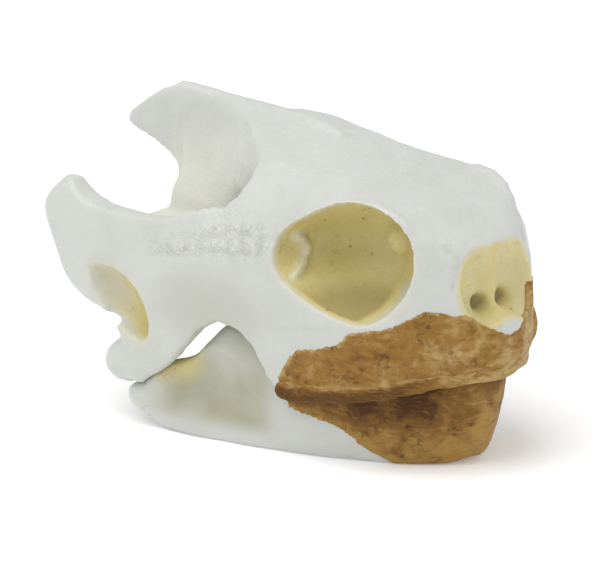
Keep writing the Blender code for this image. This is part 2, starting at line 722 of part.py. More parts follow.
def stand(mesh):
    """The lower jaw's piece, cut flat where it touches what it stands on."""
    ground = bmesh.new()
    add_slab(ground, [(-FAR, -FAR), (FAR, -FAR), (FAR, 3 * FAR), (-FAR, 3 * FAR)], -FAR, FLAT)
    slab = bpy.data.meshes.new("ground")
    ground.to_mesh(slab)
    ground.free()
    mesh = combine(mesh, slab, "DIFFERENCE")
    mesh.transform(Matrix.Translation((0.0, 0.0, -FLAT)))
    return mesh


def main():
    for obj in list(bpy.data.objects):
        bpy.data.objects.remove(obj)
    bone = material("bone", (0.86, 0.86, 0.80), 0.45)
    horn = material("horn", (0.45, 0.24, 0.09), 0.6)
    jaw = jaw_form()
    head = combine(cranium_form(), swollen(jaw, GAP), "DIFFERENCE")
    upper_beak, cranium = split(head, UPPER_LINE, upper_core, True)
    lower_beak, jaw_bone = split(jaw, LOWER_LINE, lower_core, False)
    skull = bpy.data.collections.new("turtle_skull")
    bpy.context.scene.collection.children.link(skull)
    place("cranium", finished(cranium, CRANIUM_TRIANGLES), -FLAT, bone, skull)
    place("lower_jaw", stand(finished(jaw_bone, JAW_TRIANGLES)), 0.0, bone, skull)
    place("upper_beak", finished(upper_beak, BEAK_TRIANGLES), -FLAT, horn, skull)
    place("lower_beak", stand(finished(lower_beak, BEAK_TRIANGLES)), 0.0, horn, skull)


main()
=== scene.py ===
"""A turtle skull with its lower jaw closed under it, and the horn beak still on both jaws.

The shapes are written in millimetres as (x, s, z): x is across, with 0 on the midline, s runs backwards from
the tip of the beak, and z up from just under the lower jaw. Each finished piece is scaled to metres and set in
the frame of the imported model, with the snout to -Y.
"""

import math
import random

import bmesh
import bpy
import numpy as np
from mathutils import Matrix, Vector


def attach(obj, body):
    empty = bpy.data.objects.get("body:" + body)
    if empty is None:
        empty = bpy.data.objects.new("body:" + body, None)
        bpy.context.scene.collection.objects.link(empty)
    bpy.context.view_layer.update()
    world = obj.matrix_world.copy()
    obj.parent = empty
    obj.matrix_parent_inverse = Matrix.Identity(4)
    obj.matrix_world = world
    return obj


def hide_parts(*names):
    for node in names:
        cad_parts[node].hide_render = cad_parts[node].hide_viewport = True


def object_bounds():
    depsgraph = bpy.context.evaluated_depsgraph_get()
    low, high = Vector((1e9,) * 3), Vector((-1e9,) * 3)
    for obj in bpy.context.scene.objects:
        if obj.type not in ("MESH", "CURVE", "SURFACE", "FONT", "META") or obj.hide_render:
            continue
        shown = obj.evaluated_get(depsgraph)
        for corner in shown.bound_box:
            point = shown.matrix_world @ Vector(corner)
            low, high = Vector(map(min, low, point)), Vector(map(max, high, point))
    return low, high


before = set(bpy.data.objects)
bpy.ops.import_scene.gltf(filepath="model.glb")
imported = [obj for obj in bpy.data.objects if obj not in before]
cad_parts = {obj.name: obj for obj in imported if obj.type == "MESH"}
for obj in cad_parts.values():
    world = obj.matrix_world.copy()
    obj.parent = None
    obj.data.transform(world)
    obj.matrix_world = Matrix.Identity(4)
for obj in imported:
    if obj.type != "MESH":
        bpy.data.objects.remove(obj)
cad_low, cad_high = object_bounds()


# Lower jaw.
# The two bone sides of the jaw meet at the chin and carry the lower horn. It is clean, dry bone, lightly
# glossy, with a cup behind for each joint, and it stands on the low flats under its sides.

# Each row: x, s of the middle line, lowest and highest point, half thickness, and the top's lean outwards.
JAW = [
    (-1.2, 5.7, 1.0, 13.0, 1.9, 0.22),
    (0.0, 5.7, 1.0, 13.0, 1.9, 0.22),
    (1.9, 6.4, 0.6, 12.7, 1.9, 0.22),
    (3.9, 8.6, 0.1, 11.8, 1.9, 0.19),
    (6.4, 12.1, 0.0, 10.7, 1.9, 0.13),
    (8.8, 16.5, 0.0, 10.2, 1.9, 0.12),
    (10.8, 21.0, 0.0, 10.9, 1.8, 0.06),
    (12.4, 26.0, 0.0, 12.6, 1.7, 0.0),
    (13.7, 30.5, 0.0, 14.5, 1.6, -0.03),
    (14.3, 33.0, 0.0, 14.8, 1.5, -0.04),
    (14.8, 35.4, 0.0, 12.5, 1.7, -0.05),
    (15.2, 38.0, 0.0, 9.9, 1.9, -0.06),
    (15.7, 41.8, 0.3, 8.4, 2.3, 0.0),
    (15.9, 44.9, 1.6, 5.9, 2.0, 0.0),
]
# The cell size that forms are fused with, the gap round the jaw joint, and how much of the lowest bone is cut
# off flat.
CLAY_VOXEL = 0.39
JOINT_GAP = 0.3
FLOOR_CUT = 0.35


def at(x, s, z):
    """A point of the skull, in millimetres."""
    return Vector((x, s, z))


def between(table, s):
    """The row of a table at s, on a smooth curve through its rows."""
    rows = [table[0], *table, table[-1]]
    i = max(1, min(len(rows) - 3, sum(row[0] <= s for row in table)))
    before, low, high, after = rows[i - 1 : i + 3]
    t = (s - low[0]) / (high[0] - low[0])
    made = []
    for a, b, c, d in zip(before[1:], low[1:], high[1:], after[1:]):
        start = (2 * t**3 - 3 * t**2 + 1) * b + (t**3 - 2 * t**2 + t) * (c - a) / 2
        made.append(start + (3 * t**2 - 2 * t**3) * c + (t**3 - t**2) * (d - b) / 2)
    return made


def power(value, exponent):
    return math.copysign(abs(value) ** exponent, value)


def stations(first, last, step=1.0):
    count = max(1, round((last - first) / step))
    return [first + (last - first) * k / count for k in range(count + 1)]


# Clay is one bmesh of closed forms that overlap, until fuse() gives them one surface.
def add_loft(clay, rings):
    """A closed form through rings that all have the same number of points."""
    made = [[clay.verts.new(p) for p in ring] for ring in rings]
    faces = []
    for one, two in zip(made, made[1:]):
        for k in range(len(one)):
            n = (k + 1) % len(one)
            faces.append(clay.faces.new((one[k], one[n], two[n], two[k])))
    faces.append(clay.faces.new(made[0][::-1]))
    faces.append(clay.faces.new(made[-1]))
    bmesh.ops.recalc_face_normals(clay, faces=faces)


def add_ball(clay, centre, radii, turn=(0.0, 0.0, 0.0)):
    """An ellipsoid, turned by degrees about x, y and z."""
    place = Matrix.Translation(centre)
    for degrees, axis in zip(turn, "XYZ"):
        place = place @ Matrix.Rotation(math.radians(degrees), 4, axis)
    place = place @ Matrix.Diagonal((*radii, 1.0))
    bmesh.ops.create_uvsphere(clay, u_segments=36, v_segments=20, radius=1.0, matrix=place)


def add_rod(clay, points, radii, sides=16):
    """A round bar through points, with a radius at each."""
    rings = []
    for k, point in enumerate(points):
        along = (points[min(k + 1, len(points) - 1)] - points[max(k - 1, 0)]).normalized()
        side = along.orthogonal().normalized()
        other = along.cross(side)
        turns = [2 * math.pi * n / sides for n in range(sides)]
        rings.append([point + (side * math.cos(a) + other * math.sin(a)) * radii[k] for a in turns])
    add_loft(clay, rings)


def add_slab(clay, outline, low, high, across="z"):
    """A flat outline made thick: (x, s) points from low to high in z, or (s, z) points in x."""
    if across == "z":
        rings = [[at(x, s, z) for x, s in outline] for z in (low, high)]
    else:
        rings = [[at(x, s, z) for s, z in outline] for x in (low, high)]
    add_loft(clay, rings)


def pour(clay, more):
    """Adds another clay's forms to this one."""
    spare = bpy.data.meshes.new("more")
    more.to_mesh(spare)
    more.free()
    clay.from_mesh(spare)
    bpy.data.meshes.remove(spare)
    return clay


def mirrored(clay):
    """Adds the other side's copy of everything in the clay."""
    copy = clay.copy()
    bmesh.ops.scale(copy, vec=(-1, 1, 1), verts=copy.verts)
    bmesh.ops.reverse_faces(copy, faces=copy.faces)
    return pour(clay, copy)


def holding(name, mesh):
    obj = bpy.data.objects.new(name, mesh)
    bpy.context.scene.collection.objects.link(obj)
    return obj


def settled(obj):
    """The object's mesh with its modifiers applied. The object is removed."""
    bpy.context.view_layer.update()
    graph = bpy.context.evaluated_depsgraph_get()
    mesh = bpy.data.meshes.new_from_object(obj.evaluated_get(graph))
    bpy.data.objects.remove(obj)
    return mesh


def fuse(clay, voxel=CLAY_VOXEL):
    """One closed surface round all the forms of the clay."""
    mesh = bpy.data.meshes.new("clay")
    clay.to_mesh(mesh)
    clay.free()
    obj = holding("clay", mesh)
    remesh = obj.modifiers.new("fuse", "REMESH")
    remesh.mode = "VOXEL"
    remesh.voxel_size = voxel
    return settled(obj)


def clay_of(mesh):
    clay = bmesh.new()
    clay.from_mesh(mesh)
    return clay


def combine(mesh, other, operation):
    """The Boolean of two closed meshes."""
    obj, tool = holding("piece", mesh.copy()), holding("tool", other)
    boolean = obj.modifiers.new("cut", "BOOLEAN")
    boolean.operation = operation
    boolean.solver = "MANIFOLD"
    boolean.object = tool
    result = settled(obj)
    bpy.data.objects.remove(tool)
    return result


def carve(mesh, *cutters):
    for cutter in cutters:
        mesh = combine(mesh, fuse(cutter), "DIFFERENCE")
    return mesh


def smoothed(mesh, rounds):
    obj = holding("smooth", mesh)
    smooth = obj.modifiers.new("smooth", "SMOOTH")
    smooth.factor = 0.5
    smooth.iterations = rounds
    return settled(obj)


def swollen(mesh, amount):
    """The form with its skin moved outwards."""
    obj = holding("swollen", mesh.copy())
    displace = obj.modifiers.new("out", "DISPLACE")
    displace.strength = amount
    displace.mid_level = 0.0
    return fuse(clay_of(settled(obj)))


def largest(mesh):
    """The mesh with only its largest closed surface."""
    clay = clay_of(mesh)
    seen, groups = set(), []
    for start in clay.verts:
        if start in seen:
            continue
        group, waiting = [], [start]
        seen.add(start)
        while waiting:
            vert = waiting.pop()
            group.append(vert)
            for edge in vert.link_edges:
                other = edge.other_vert(vert)
                if other not in seen:
                    seen.add(other)
                    waiting.append(other)
        groups.append(group)
    groups.sort(key=len)
    bmesh.ops.delete(clay, geom=[v for group in groups[:-1] for v in group], context="VERTS")
    clay.to_mesh(mesh)
    clay.free()
    return mesh


def points_of(mesh):
    """The mesh's points as columns x, s and z."""
    flat = np.empty(len(mesh.vertices) * 3)
    mesh.vertices.foreach_get("co", flat)
    return flat.reshape(-1, 3).T


def paint(mesh, name, values):
    """Stores one number for each point, for the materials and the relief to read."""
    layer = mesh.attributes.new(name, "FLOAT", "POINT")
    layer.data.foreach_set("value", np.asarray(values, dtype=np.float32))


def ramp(low, high, values):
    """0 below low and 1 above high, eased between them."""
    t = np.clip((values - low) / (high - low), 0.0, 1.0)
    return t * t * (3 - 2 * t)


def away_from(points, line):
    """How far each point lies from a line and its mirror image, in millimetres."""
    px, ps, pz = np.abs(points[0]), points[1], points[2]
    nearest = np.full(len(px), 1e9)
    for one, two in zip(line, line[1:]):
        one, step = np.array(one), np.array(two) - np.array(one)
        offset = np.stack((px - one[0], ps - one[1], pz - one[2]))
        t = np.clip((offset * step[:, None]).sum(0) / (step @ step), 0.0, 1.0)
        nearest = np.minimum(nearest, np.sqrt(((offset - step[:, None] * t) ** 2).sum(0)))
    return nearest


def paint_hollows(mesh):
    """Marks how far each point lies in a hollow (negative on an edge), seen against a much softer copy.

    The bone's finish paints shade into the hollows and a highlight onto the edges from it.
    """
    soft = smoothed(mesh.copy(), 40)
    normals = np.empty(len(mesh.vertices) * 3)
    mesh.vertices.foreach_get("normal", normals)
    sunk_for_shading = ((points_of(soft) - points_of(mesh)) * normals.reshape(-1, 3).T).sum(0)
    paint(mesh, "hollow", sunk_for_shading)
    bpy.data.meshes.remove(soft)


def scored(mesh, line, depth, width):
    """Sinks the skin along a line, on both sides of the skull, or raises it where depth is negative."""
    normals = np.empty(len(mesh.vertices) * 3)
    mesh.vertices.foreach_get("normal", normals)
    places = points_of(mesh)
    sink = depth * np.exp(-((away_from(places, line) / width) ** 2))
    mesh.vertices.foreach_set("co", (places - sink * normals.reshape(-1, 3).T).T.ravel())
    mesh.update()


def jaw_ring(row, tangent, grow=0.0, drop=0.0):
    """One section across the jaw, square to its line. grow thickens it, and drop lowers its top."""
    x, s, low, high, half, lean = row
    out = Vector((-tangent.y, tangent.x, 0.0)).normalized()
    if out.x * max(x, 0.0) < 0 or (x <= 0 and out.y > 0):
        out = -out
    high = high + grow - drop
    low = low - grow
    middle, reach = (low + high) / 2, (high - low) / 2
    ring = []
    for k in range(36):
        angle = 2 * math.pi * k / 36
        across = power(math.cos(angle), 2 / 2.8) * (half + grow)
        up = power(math.sin(angle), 2 / 2.8) * reach
        ring.append(at(x, s, middle + up) + out * (across + lean * up))
    return ring


def jaw_sides(grow=0.0, drop=0.0):
    clay = bmesh.new()
    marks = [(k, *row) for k, row in enumerate(JAW)]
    rows = [between(marks, k / 6) for k in range((len(JAW) - 1) * 6 + 1)]
    rings = []
    for k, row in enumerate(rows):
        one, two = rows[max(k - 1, 0)], rows[min(k + 1, len(rows) - 1)]
        tangent = Vector((two[0] - one[0], two[1] - one[1], 0.0))
        rings.append(jaw_ring(row, tangent, grow, drop))
    add_loft(clay, rings)
    return mirrored(clay)


# The ball of each jaw joint on the skull, which the jaw's cups are hollowed to.
JOINT = at(16.3, 47.6, 7.7)
JOINT_RADII = (3.4, 2.8, 2.8)

jaw_clay = jaw_sides()
chin_shelf = [
    (-7.4, 14.4), (-4.4, 9.6), (0.0, 6.8), (4.4, 9.6), (7.4, 14.4), (4.4, 13.4), (0.0, 12.8), (-4.4, 13.4),
]
add_slab(jaw_clay, chin_shelf, 1.7, 7.4)
jaw_rears = bmesh.new()
add_ball(jaw_rears, at(15.9, 44.2, 3.9), (2.9, 3.2, 2.3))
add_ball(jaw_rears, at(13.6, 42.0, 5.0), (1.9, 3.4, 1.9))
pour(jaw_clay, mirrored(jaw_rears))
jaw_cups = bmesh.new()
add_ball(jaw_cups, JOINT, tuple(r + JOINT_GAP + 0.1 for r in JOINT_RADII))
jaw_troughs = bmesh.new()
add_ball(jaw_troughs, at(12.6, 37.5, 6.6), (1.3, 5.0, 2.6), (0, 0, 4))
jaw_dishes = bmesh.new()
add_ball(jaw_dishes, at(18.2, 34.2, 8.4), (3.3, 8.2, 5.7), (4, 0, -9))
jaw_form = carve(fuse(jaw_clay), mirrored(jaw_cups), mirrored(jaw_troughs), mirrored(jaw_dishes))
jaw_form = smoothed(fuse(clay_of(jaw_form)), 5)


# Where the lower horn's edge runs over its jaw, from the middle to the corner of the mouth: x, s and z.
LOWER_LINE = [
    (0.0, 8.4, -4.0), (2.5, 8.9, -4.0), (5.0, 10.6, -2.4), (7.6, 13.0, 0.6), (9.1, 15.0, 2.2),
    (11.0, 17.0, 4.1), (12.3, 20.1, 5.3), (13.3, 23.0, 5.9), (13.7, 24.1, 6.8), (13.7, 24.2, 7.6),
    (13.5, 23.7, 9.0), (13.2, 23.2, 14.0),
]
# Where the horn's rays start from, its thickness at the side and at the biting edge, how far the bone runs
# under its border, how that border rises on the far side and beside the nose, and how proud it stands.
HORN_CENTRE = 14.0
HORN = 1.15
EDGE_HORN = 2.6
LAP = 0.35
UNEVEN = 0.08
NOSE_RISE = 1.3
NOSE_RISE_AT = 5.8
NOSE_RISE_WIDTH = 2.6
LIFT = 0.11


def ragged(line, amount, seed):
    """The line with more points, wandering up and down in uneven steps as a torn horn edge does."""
    chance = random.Random(seed)
    marks = [(k, *point) for k, point in enumerate(line)]
    points, wander = [], 0.0
    for k in range((len(line) - 1) * 6 + 1):
        x, s, z = between(marks, k / 6)
        wander = 0.72 * wander + chance.uniform(-1.0, 1.0) * (1.6 if chance.random() < 0.2 else 0.6)
        points.append((x, s, z + (amount * wander if k > 2 else 0.0)))
    return points


def collar(line, upper, grow=0.0):
    """The space that one horn takes round its jaw, out of a line up the middle of the mouth."""
    rings = []
    far_line = []
    for x, s, z in line:
        rise = NOSE_RISE * math.exp(-(((x - NOSE_RISE_AT) / NOSE_RISE_WIDTH) ** 2)) if upper else 0.0
        far_line.append((x, s, z + UNEVEN * x + rise))
    for x, s, z in [(-x, s, z) for x, s, z in line[:0:-1]] + far_line:
        reach = Vector((x, s - HORN_CENTRE))
        out = reach * (1 + 6.0 / reach.length)
        inside = reach * 0.1
        low, high = (-8.0, z + grow) if upper else (z - grow, 26.0)
        shift = grow if s > HORN_CENTRE else 0.0
        ring = [(out, low), (out, high), (inside, high), (inside, low)]
        rings.append([at(p.x, HORN_CENTRE + p.y + shift, height) for p, height in ring])
    clay = bmesh.new()
    add_loft(clay, rings)
    return clay


def split(mesh, line, core, upper):
    """The horn and the bone of one jaw. The bone runs a little way under the horn's edge."""
    horn_space = combine(fuse(collar(line, upper), 0.32), fuse(core(HORN), 0.4), "DIFFERENCE")
    wide_space = combine(fuse(collar(line, upper, -LAP), 0.32), fuse(core(HORN + 0.1), 0.4), "DIFFERENCE")
    horn = combine(mesh, horn_space, "INTERSECT")
    bone = combine(mesh, wide_space, "DIFFERENCE")
    return largest(horn), largest(bone)


def lower_core(depth):
    """The bone inside the lower horn."""
    return jaw_sides(grow=-depth, drop=EDGE_HORN - 1.0)


def stand(mesh):
    """The lower jaw's piece, cut flat where it touches what it stands on."""
    ground = bmesh.new()
    add_slab(ground, [(-30, -30), (30, -30), (30, 90), (-30, 90)], -30.0, FLOOR_CUT)
    slab = bpy.data.meshes.new("ground")
    ground.to_mesh(slab)
    ground.free()
    return combine(mesh, slab, "DIFFERENCE")


def wire(tree, kind, inputs, **settings):
    """A node with its settings, and each input linked to an output or set to a value."""
    node = tree.nodes.new(kind)
    for name, value in settings.items():
        setattr(node, name, value)
    for name, value in inputs.items():
        if isinstance(value, bpy.types.NodeSocket):
            tree.links.new(value, node.inputs[name])
        else:
            node.inputs[name].default_value = value
    return node


def reckon(tree, operation, one, two=0.0, clamp=False):
    """The output of a Math node."""
    return wire(tree, "ShaderNodeMath", {0: one, 1: two}, operation=operation, use_clamp=clamp).outputs[0]


def times(tree, one, two):
    return reckon(tree, "MULTIPLY", one, two)


def summed(tree, first, *parts):
    """A number plus each part times its share."""
    for part, share in parts:
        first = reckon(tree, "ADD", first, times(tree, part, share))
    return first


# The relief lifts and sinks the skin of a piece by its marks: a slow unevenness all over, and a finer crinkle
# where the piece is marked for it.
def relief_tree():
    tree = bpy.data.node_groups.new("surface relief", "GeometryNodeTree")
    face = tree.interface
    face.new_socket(name="Geometry", in_out="INPUT", socket_type="NodeSocketGeometry")
    sizes = {"Lift": 0.0, "Unevenness": 0.2, "Unevenness size": 0.15}
    sizes |= {"Crinkle": 0.2, "Crinkle size": 0.9, "Seed": 1.0}
    for name, value in sizes.items():
        face.new_socket(name=name, in_out="INPUT", socket_type="NodeSocketFloat").default_value = value
    stretch = face.new_socket(name="Stretch", in_out="INPUT", socket_type="NodeSocketVector")
    stretch.default_value = (1.0, 1.0, 1.0)
    face.new_socket(name="Finish", in_out="INPUT", socket_type="NodeSocketMaterial")
    face.new_socket(name="Geometry", in_out="OUTPUT", socket_type="NodeSocketGeometry")
    given = tree.nodes.new("NodeGroupInput").outputs
    place = tree.nodes.new("GeometryNodeInputPosition").outputs[0]
    stretched = wire(tree, "ShaderNodeVectorMath", {0: place, 1: given["Stretch"]}, operation="MULTIPLY")

    def layer(size, amount, detail):
        """How far one noise lifts the skin."""
        inputs = {"Vector": stretched.outputs[0], "W": given["Seed"], "Scale": given[size], "Detail": detail}
        noise = wire(tree, "ShaderNodeTexNoise", inputs, noise_dimensions="4D").outputs[0]
        return times(tree, reckon(tree, "SUBTRACT", noise, 0.5), given[amount])

    marked = wire(tree, "GeometryNodeInputNamedAttribute", {"Name": "crinkle"}, data_type="FLOAT")
    crinkle = times(tree, layer("Crinkle size", "Crinkle", 1.5), marked.outputs["Attribute"])
    lifted = reckon(tree, "ADD", given["Lift"], layer("Unevenness size", "Unevenness", 2.0))
    total = reckon(tree, "ADD", lifted, crinkle)
    normal = tree.nodes.new("GeometryNodeInputNormal").outputs[0]
    offset = wire(tree, "ShaderNodeVectorMath", {0: normal, "Scale": total}, operation="SCALE").outputs[0]
    moved = wire(tree, "GeometryNodeSetPosition", {"Geometry": given["Geometry"], "Offset": offset})
    real = wire(tree, "GeometryNodeRealizeInstances", {0: moved.outputs[0]}).outputs[0]
    finish = wire(tree, "GeometryNodeSetMaterial", {"Geometry": real, "Material": given["Finish"]})
    tree.links.new(finish.outputs[0], tree.nodes.new("NodeGroupOutput").inputs[0])
    return tree


RELIEF = relief_tree()


def with_relief(mesh, finish, **sizes):
    """The mesh with the relief tree applied, each input set by its socket's identifier."""
    obj = holding("relief", mesh)
    modifier = obj.modifiers.new("relief", "NODES")
    modifier.node_group = RELIEF
    sizes = {name.replace("_", " ").capitalize(): value for name, value in sizes.items()} | {"Finish": finish}
    for item in RELIEF.interface.items_tree:
        if item.in_out == "INPUT" and item.name in sizes:
            modifier[item.identifier] = sizes[item.name]
    return settled(obj)


def set_down(name, mesh, node):
    """Puts a finished mesh in the frame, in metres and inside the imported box, in place of its node."""
    points = points_of(mesh).T * 0.001
    points += np.array((0.0, cad_low[1], -0.001 * FLOOR_CUT))
    points = np.clip(points, np.array(cad_low) + 1e-6, np.array(cad_high) - 1e-6)
    mesh.vertices.foreach_set("co", points.ravel())
    mesh.update()
    mesh.name = name
    mesh.shade_smooth()
    mesh.set_sharp_from_angle(angle=math.radians(52))
    piece = holding(name, mesh)
    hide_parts(node)
    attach(piece, "root")
    return piece


# Shared effects of the finishes, as node groups that put out masks and heights.
def effect(name, sizes, results):
    """A new shader node group with its named inputs and outputs."""
    tree = bpy.data.node_groups.new(name, "ShaderNodeTree")
    tree.interface.new_socket(name="Vector", in_out="INPUT", socket_type="NodeSocketVector")
    for name, value in sizes.items():
        socket = tree.interface.new_socket(name=name, in_out="INPUT", socket_type="NodeSocketFloat")
        socket.default_value = value
    for name in results:
        tree.interface.new_socket(name=name, in_out="OUTPUT", socket_type="NodeSocketFloat")
    return tree, tree.nodes.new("NodeGroupInput"), tree.nodes.new("NodeGroupOutput")


def ranged(tree, value, low, high, to_low=0.0, to_high=1.0):
    """The output of a smooth Map Range node."""
    sizes = {"Value": value, "From Min": low, "From Max": high, "To Min": to_low, "To Max": to_high}
    return wire(tree, "ShaderNodeMapRange", sizes, interpolation_type="SMOOTHSTEP").outputs[0]


def tinted(tree, share, one, two, blend="MIX"):
    """The output of a colour mix."""
    mix = wire(tree, "ShaderNodeMix", {0: share}, data_type="RGBA", blend_type=blend)
    for slot, value in ((6, one), (7, two)):
        if isinstance(value, bpy.types.NodeSocket):
            tree.links.new(value, mix.inputs[slot])
        else:
            mix.inputs[slot].default_value = (*value, 1.0)
    return mix.outputs[2]


def noise_of(tree, vector, scale, detail=3.0, roughness=0.5, distortion=0.0):
    sizes = {"Vector": vector, "Scale": scale, "Detail": detail, "Roughness": roughness}
    return wire(tree, "ShaderNodeTexNoise", sizes | {"Distortion": distortion}).outputs[0]


def mottle_group():
    """Soft cloudy patches, from 0 to 1."""
    tree, given, ready = effect("mottle", {"Size": 0.3, "Contrast": 1.0}, ["Patches"])
    cloud = noise_of(tree, given.outputs["Vector"], given.outputs["Size"], 4.0, 0.55, 0.4)
    centred = reckon(tree, "SUBTRACT", cloud, 0.5)
    wide = times(tree, centred, given.outputs["Contrast"])
    tree.links.new(reckon(tree, "ADD", wide, 0.5, clamp=True), ready.inputs["Patches"])
    return tree


def pores_group():
    """Small round pits scattered unevenly: 1 at the middle of a pit."""
    tree, given, ready = effect("pores", {"Size": 1.0, "Amount": 0.5}, ["Pits"])
    wobble = wire(tree, "ShaderNodeVectorMath", {0: given.outputs["Vector"]}, operation="SCALE")
    tree.links.new(given.outputs["Size"], wobble.inputs["Scale"])
    cells = wire(tree, "ShaderNodeTexVoronoi", {"Vector": wobble.outputs[0], "Scale": 1.0, "Randomness": 1.0})
    pit = ranged(tree, cells.outputs["Distance"], 0.08, 0.26, 1.0, 0.0)
    parts = wire(tree, "ShaderNodeSeparateColor", {"Color": cells.outputs["Color"]})
    kept = reckon(tree, "LESS_THAN", parts.outputs[0], given.outputs["Amount"])
    tree.links.new(times(tree, pit, kept), ready.inputs["Pits"])
    return tree


MOTTLE, PORES = mottle_group(), pores_group()


def placed(tree, group, vector, **sizes):
    node = tree.nodes.new("ShaderNodeGroup")
    node.node_tree = group
    tree.links.new(vector, node.inputs["Vector"])
    for name, value in sizes.items():
        node.inputs[name.capitalize()].default_value = value
    return node


def mark_of(tree, name):
    """A number that the mesh carries at each point."""
    return wire(tree, "ShaderNodeAttribute", {}, attribute_name=name).outputs["Fac"]


def new_finish(name):
    """A new material, its tree, its shader and the object's coordinates in millimetres."""
    finish = bpy.data.materials.new(name)
    finish.use_nodes = True
    tree = finish.node_tree
    where = tree.nodes.new("ShaderNodeTexCoord").outputs["Object"]
    mapping = wire(tree, "ShaderNodeMapping", {"Vector": where, "Scale": (1000.0, 1000.0, 1000.0)})
    return finish, tree, tree.nodes["Principled BSDF"], mapping.outputs[0]


def translucent(shader, weight, radius, scale, shine):
    """Lets some light into the surface, and sets how strongly it mirrors."""
    shader.inputs["Subsurface Weight"].default_value = weight
    shader.inputs["Subsurface Radius"].default_value = radius
    shader.inputs["Subsurface Scale"].default_value = scale
    shader.inputs["Specular IOR Level"].default_value = shine


def bone_finish():
    """Dry bone: cool off-white, painted greenish shade in hollows, ochre with brown specks deep in the
    openings.
    """
    finish, tree, shader, where = new_finish("clean bone")
    hollow = mark_of(tree, "hollow")
    stain_and_shade = mark_of(tree, "stain_and_shade")
    rim = mark_of(tree, "rim")
    patches = placed(tree, MOTTLE, where, size=0.16, contrast=2.2).outputs[0]
    flecks = placed(tree, MOTTLE, where, size=1.1, contrast=1.6).outputs[0]
    colour = tinted(tree, patches, (0.54, 0.555, 0.52), (0.60, 0.612, 0.588))
    colour = tinted(tree, times(tree, flecks, 0.10), colour, (0.43, 0.43, 0.34))
    # Painted shade: hollows are darkened to a greenish grey. Painted highlight: convex edges are lightened.
    sunk_for_shading = ranged(tree, hollow, 0.05, 0.6, 0.0, 0.4)
    colour = tinted(tree, sunk_for_shading, colour, (0.42, 0.42, 0.31))
    wear_and_edge_highlight = ranged(tree, hollow, -0.55, -0.12, 0.45, 0.0)
    colour = tinted(tree, wear_and_edge_highlight, colour, (0.64, 0.645, 0.615))
    # Painted light: where the mesh is marked, in the hollow behind each eye, the bone is lightened.
    colour = tinted(tree, times(tree, mark_of(tree, "thin"), 0.85), colour, (0.70, 0.705, 0.61))
    # Lighter flecks on the crinkled patch.
    crinkle_flecks = times(tree, mark_of(tree, "crinkle"), ranged(tree, flecks, 0.35, 0.7, 0.0, 0.5))
    colour = tinted(tree, crinkle_flecks, colour, (0.70, 0.70, 0.64))
    # Painted shade: where the mesh is marked, in the dish on each side of the jaw and on the cheek, the bone
    # is darkened to a greenish grey.
    painted_shade = times(tree, mark_of(tree, "painted_shade"), ranged(tree, patches, 0.1, 0.9, 0.6, 1.0))
    colour = tinted(tree, painted_shade, colour, (0.37, 0.362, 0.255))
    colour = tinted(tree, times(tree, rim, 0.75), colour, (0.60, 0.55, 0.30))
    edge = summed(tree, stain_and_shade, (reckon(tree, "SUBTRACT", flecks, 0.5), 0.22))
    ochre = tinted(tree, patches, (0.57, 0.475, 0.18), (0.66, 0.58, 0.28))
    ochre = tinted(tree, ranged(tree, flecks, 0.55, 0.9, 0.0, 0.4), ochre, (0.42, 0.335, 0.12))
    # Where the mark runs highest, at the bottom of each eye socket, the ochre is darkened further: painted
    # shade.
    ochre = tinted(tree, ranged(tree, stain_and_shade, 0.9, 1.4, 0.0, 0.85), ochre, (0.33, 0.27, 0.105))
    colour = tinted(tree, ranged(tree, edge, 0.12, 0.85), colour, ochre)
    specks = placed(tree, PORES, where, size=0.9, amount=0.16).outputs[0]
    dark = times(tree, specks, ranged(tree, stain_and_shade, 0.55, 0.9))
    colour = tinted(tree, times(tree, dark, 0.75), colour, (0.17, 0.11, 0.035))
    tree.links.new(colour, shader.inputs["Base Color"])
    gloss = ranged(tree, noise_of(tree, where, 0.45, 4.0), 0.3, 0.7, 0.30, 0.50)
    crinkled = mark_of(tree, "crinkle")
    tree.links.new(summed(tree, gloss, (stain_and_shade, 0.14), (crinkled, -0.22)), shader.inputs["Roughness"])
    pores = placed(tree, PORES, where, size=2.2, amount=0.22).outputs[0]
    grain = noise_of(tree, where, 2.6, 5.0, 0.55)
    broad = noise_of(tree, where, 0.7, 3.0, 0.5, 0.6)
    wrinkles = times(tree, noise_of(tree, where, 0.8, 3.0, 0.55, 2.2), crinkled)
    height = summed(tree, wrinkles, (grain, 0.05), (broad, 0.22), (pores, -0.035))
    bump = wire(tree, "ShaderNodeBump", {"Height": height, "Strength": 0.6, "Distance": 0.001})
    tree.links.new(bump.outputs[0], shader.inputs["Normal"])
    translucent(shader, 0.22, (1.0, 0.8, 0.5), 0.0012, 0.45)
    return finish


BONE = bone_finish()
lower_horn_form, jaw_bone = split(jaw_form, ragged(LOWER_LINE, 0.14, 4), lower_core, False)
jaw_bone = stand(jaw_bone)
x, s, z = points_of(jaw_bone)
paint_hollows(jaw_bone)
inner = 0.38 * ramp(15.5, 12.5, np.abs(x)) * ramp(20.0, 30.0, s)
rear_top = 0.75 * ramp(33.5, 39.0, s) * ramp(47.0, 41.5, s) * ramp(4.2, 9.0, z)
paint(jaw_bone, "stain_and_shade", np.maximum(inner, rear_top))
# Painted shade in the dish on each side of the jaw, strongest in its lower part.
dish_shade = ramp(1.2, 4.0, z) * ramp(24.2, 28.0, s) * ramp(44.5, 38.0, s) * (np.abs(x) > 12.0)
paint(jaw_bone, "painted_shade", dish_shade * (0.55 + 0.45 * ramp(12.0, 7.0, z)))
paint(jaw_bone, "rim", np.zeros(len(x)))
paint(jaw_bone, "thin", np.zeros(len(x)))
paint(jaw_bone, "crinkle", 0.4 * ramp(38.0, 44.0, s))
jaw_bone = with_relief(
    jaw_bone, BONE, unevenness=0.28, unevenness_size=0.22, crinkle=0.35, crinkle_size=0.8, seed=3.0
)
set_down("jaw_bone", jaw_bone, "lower_jaw")
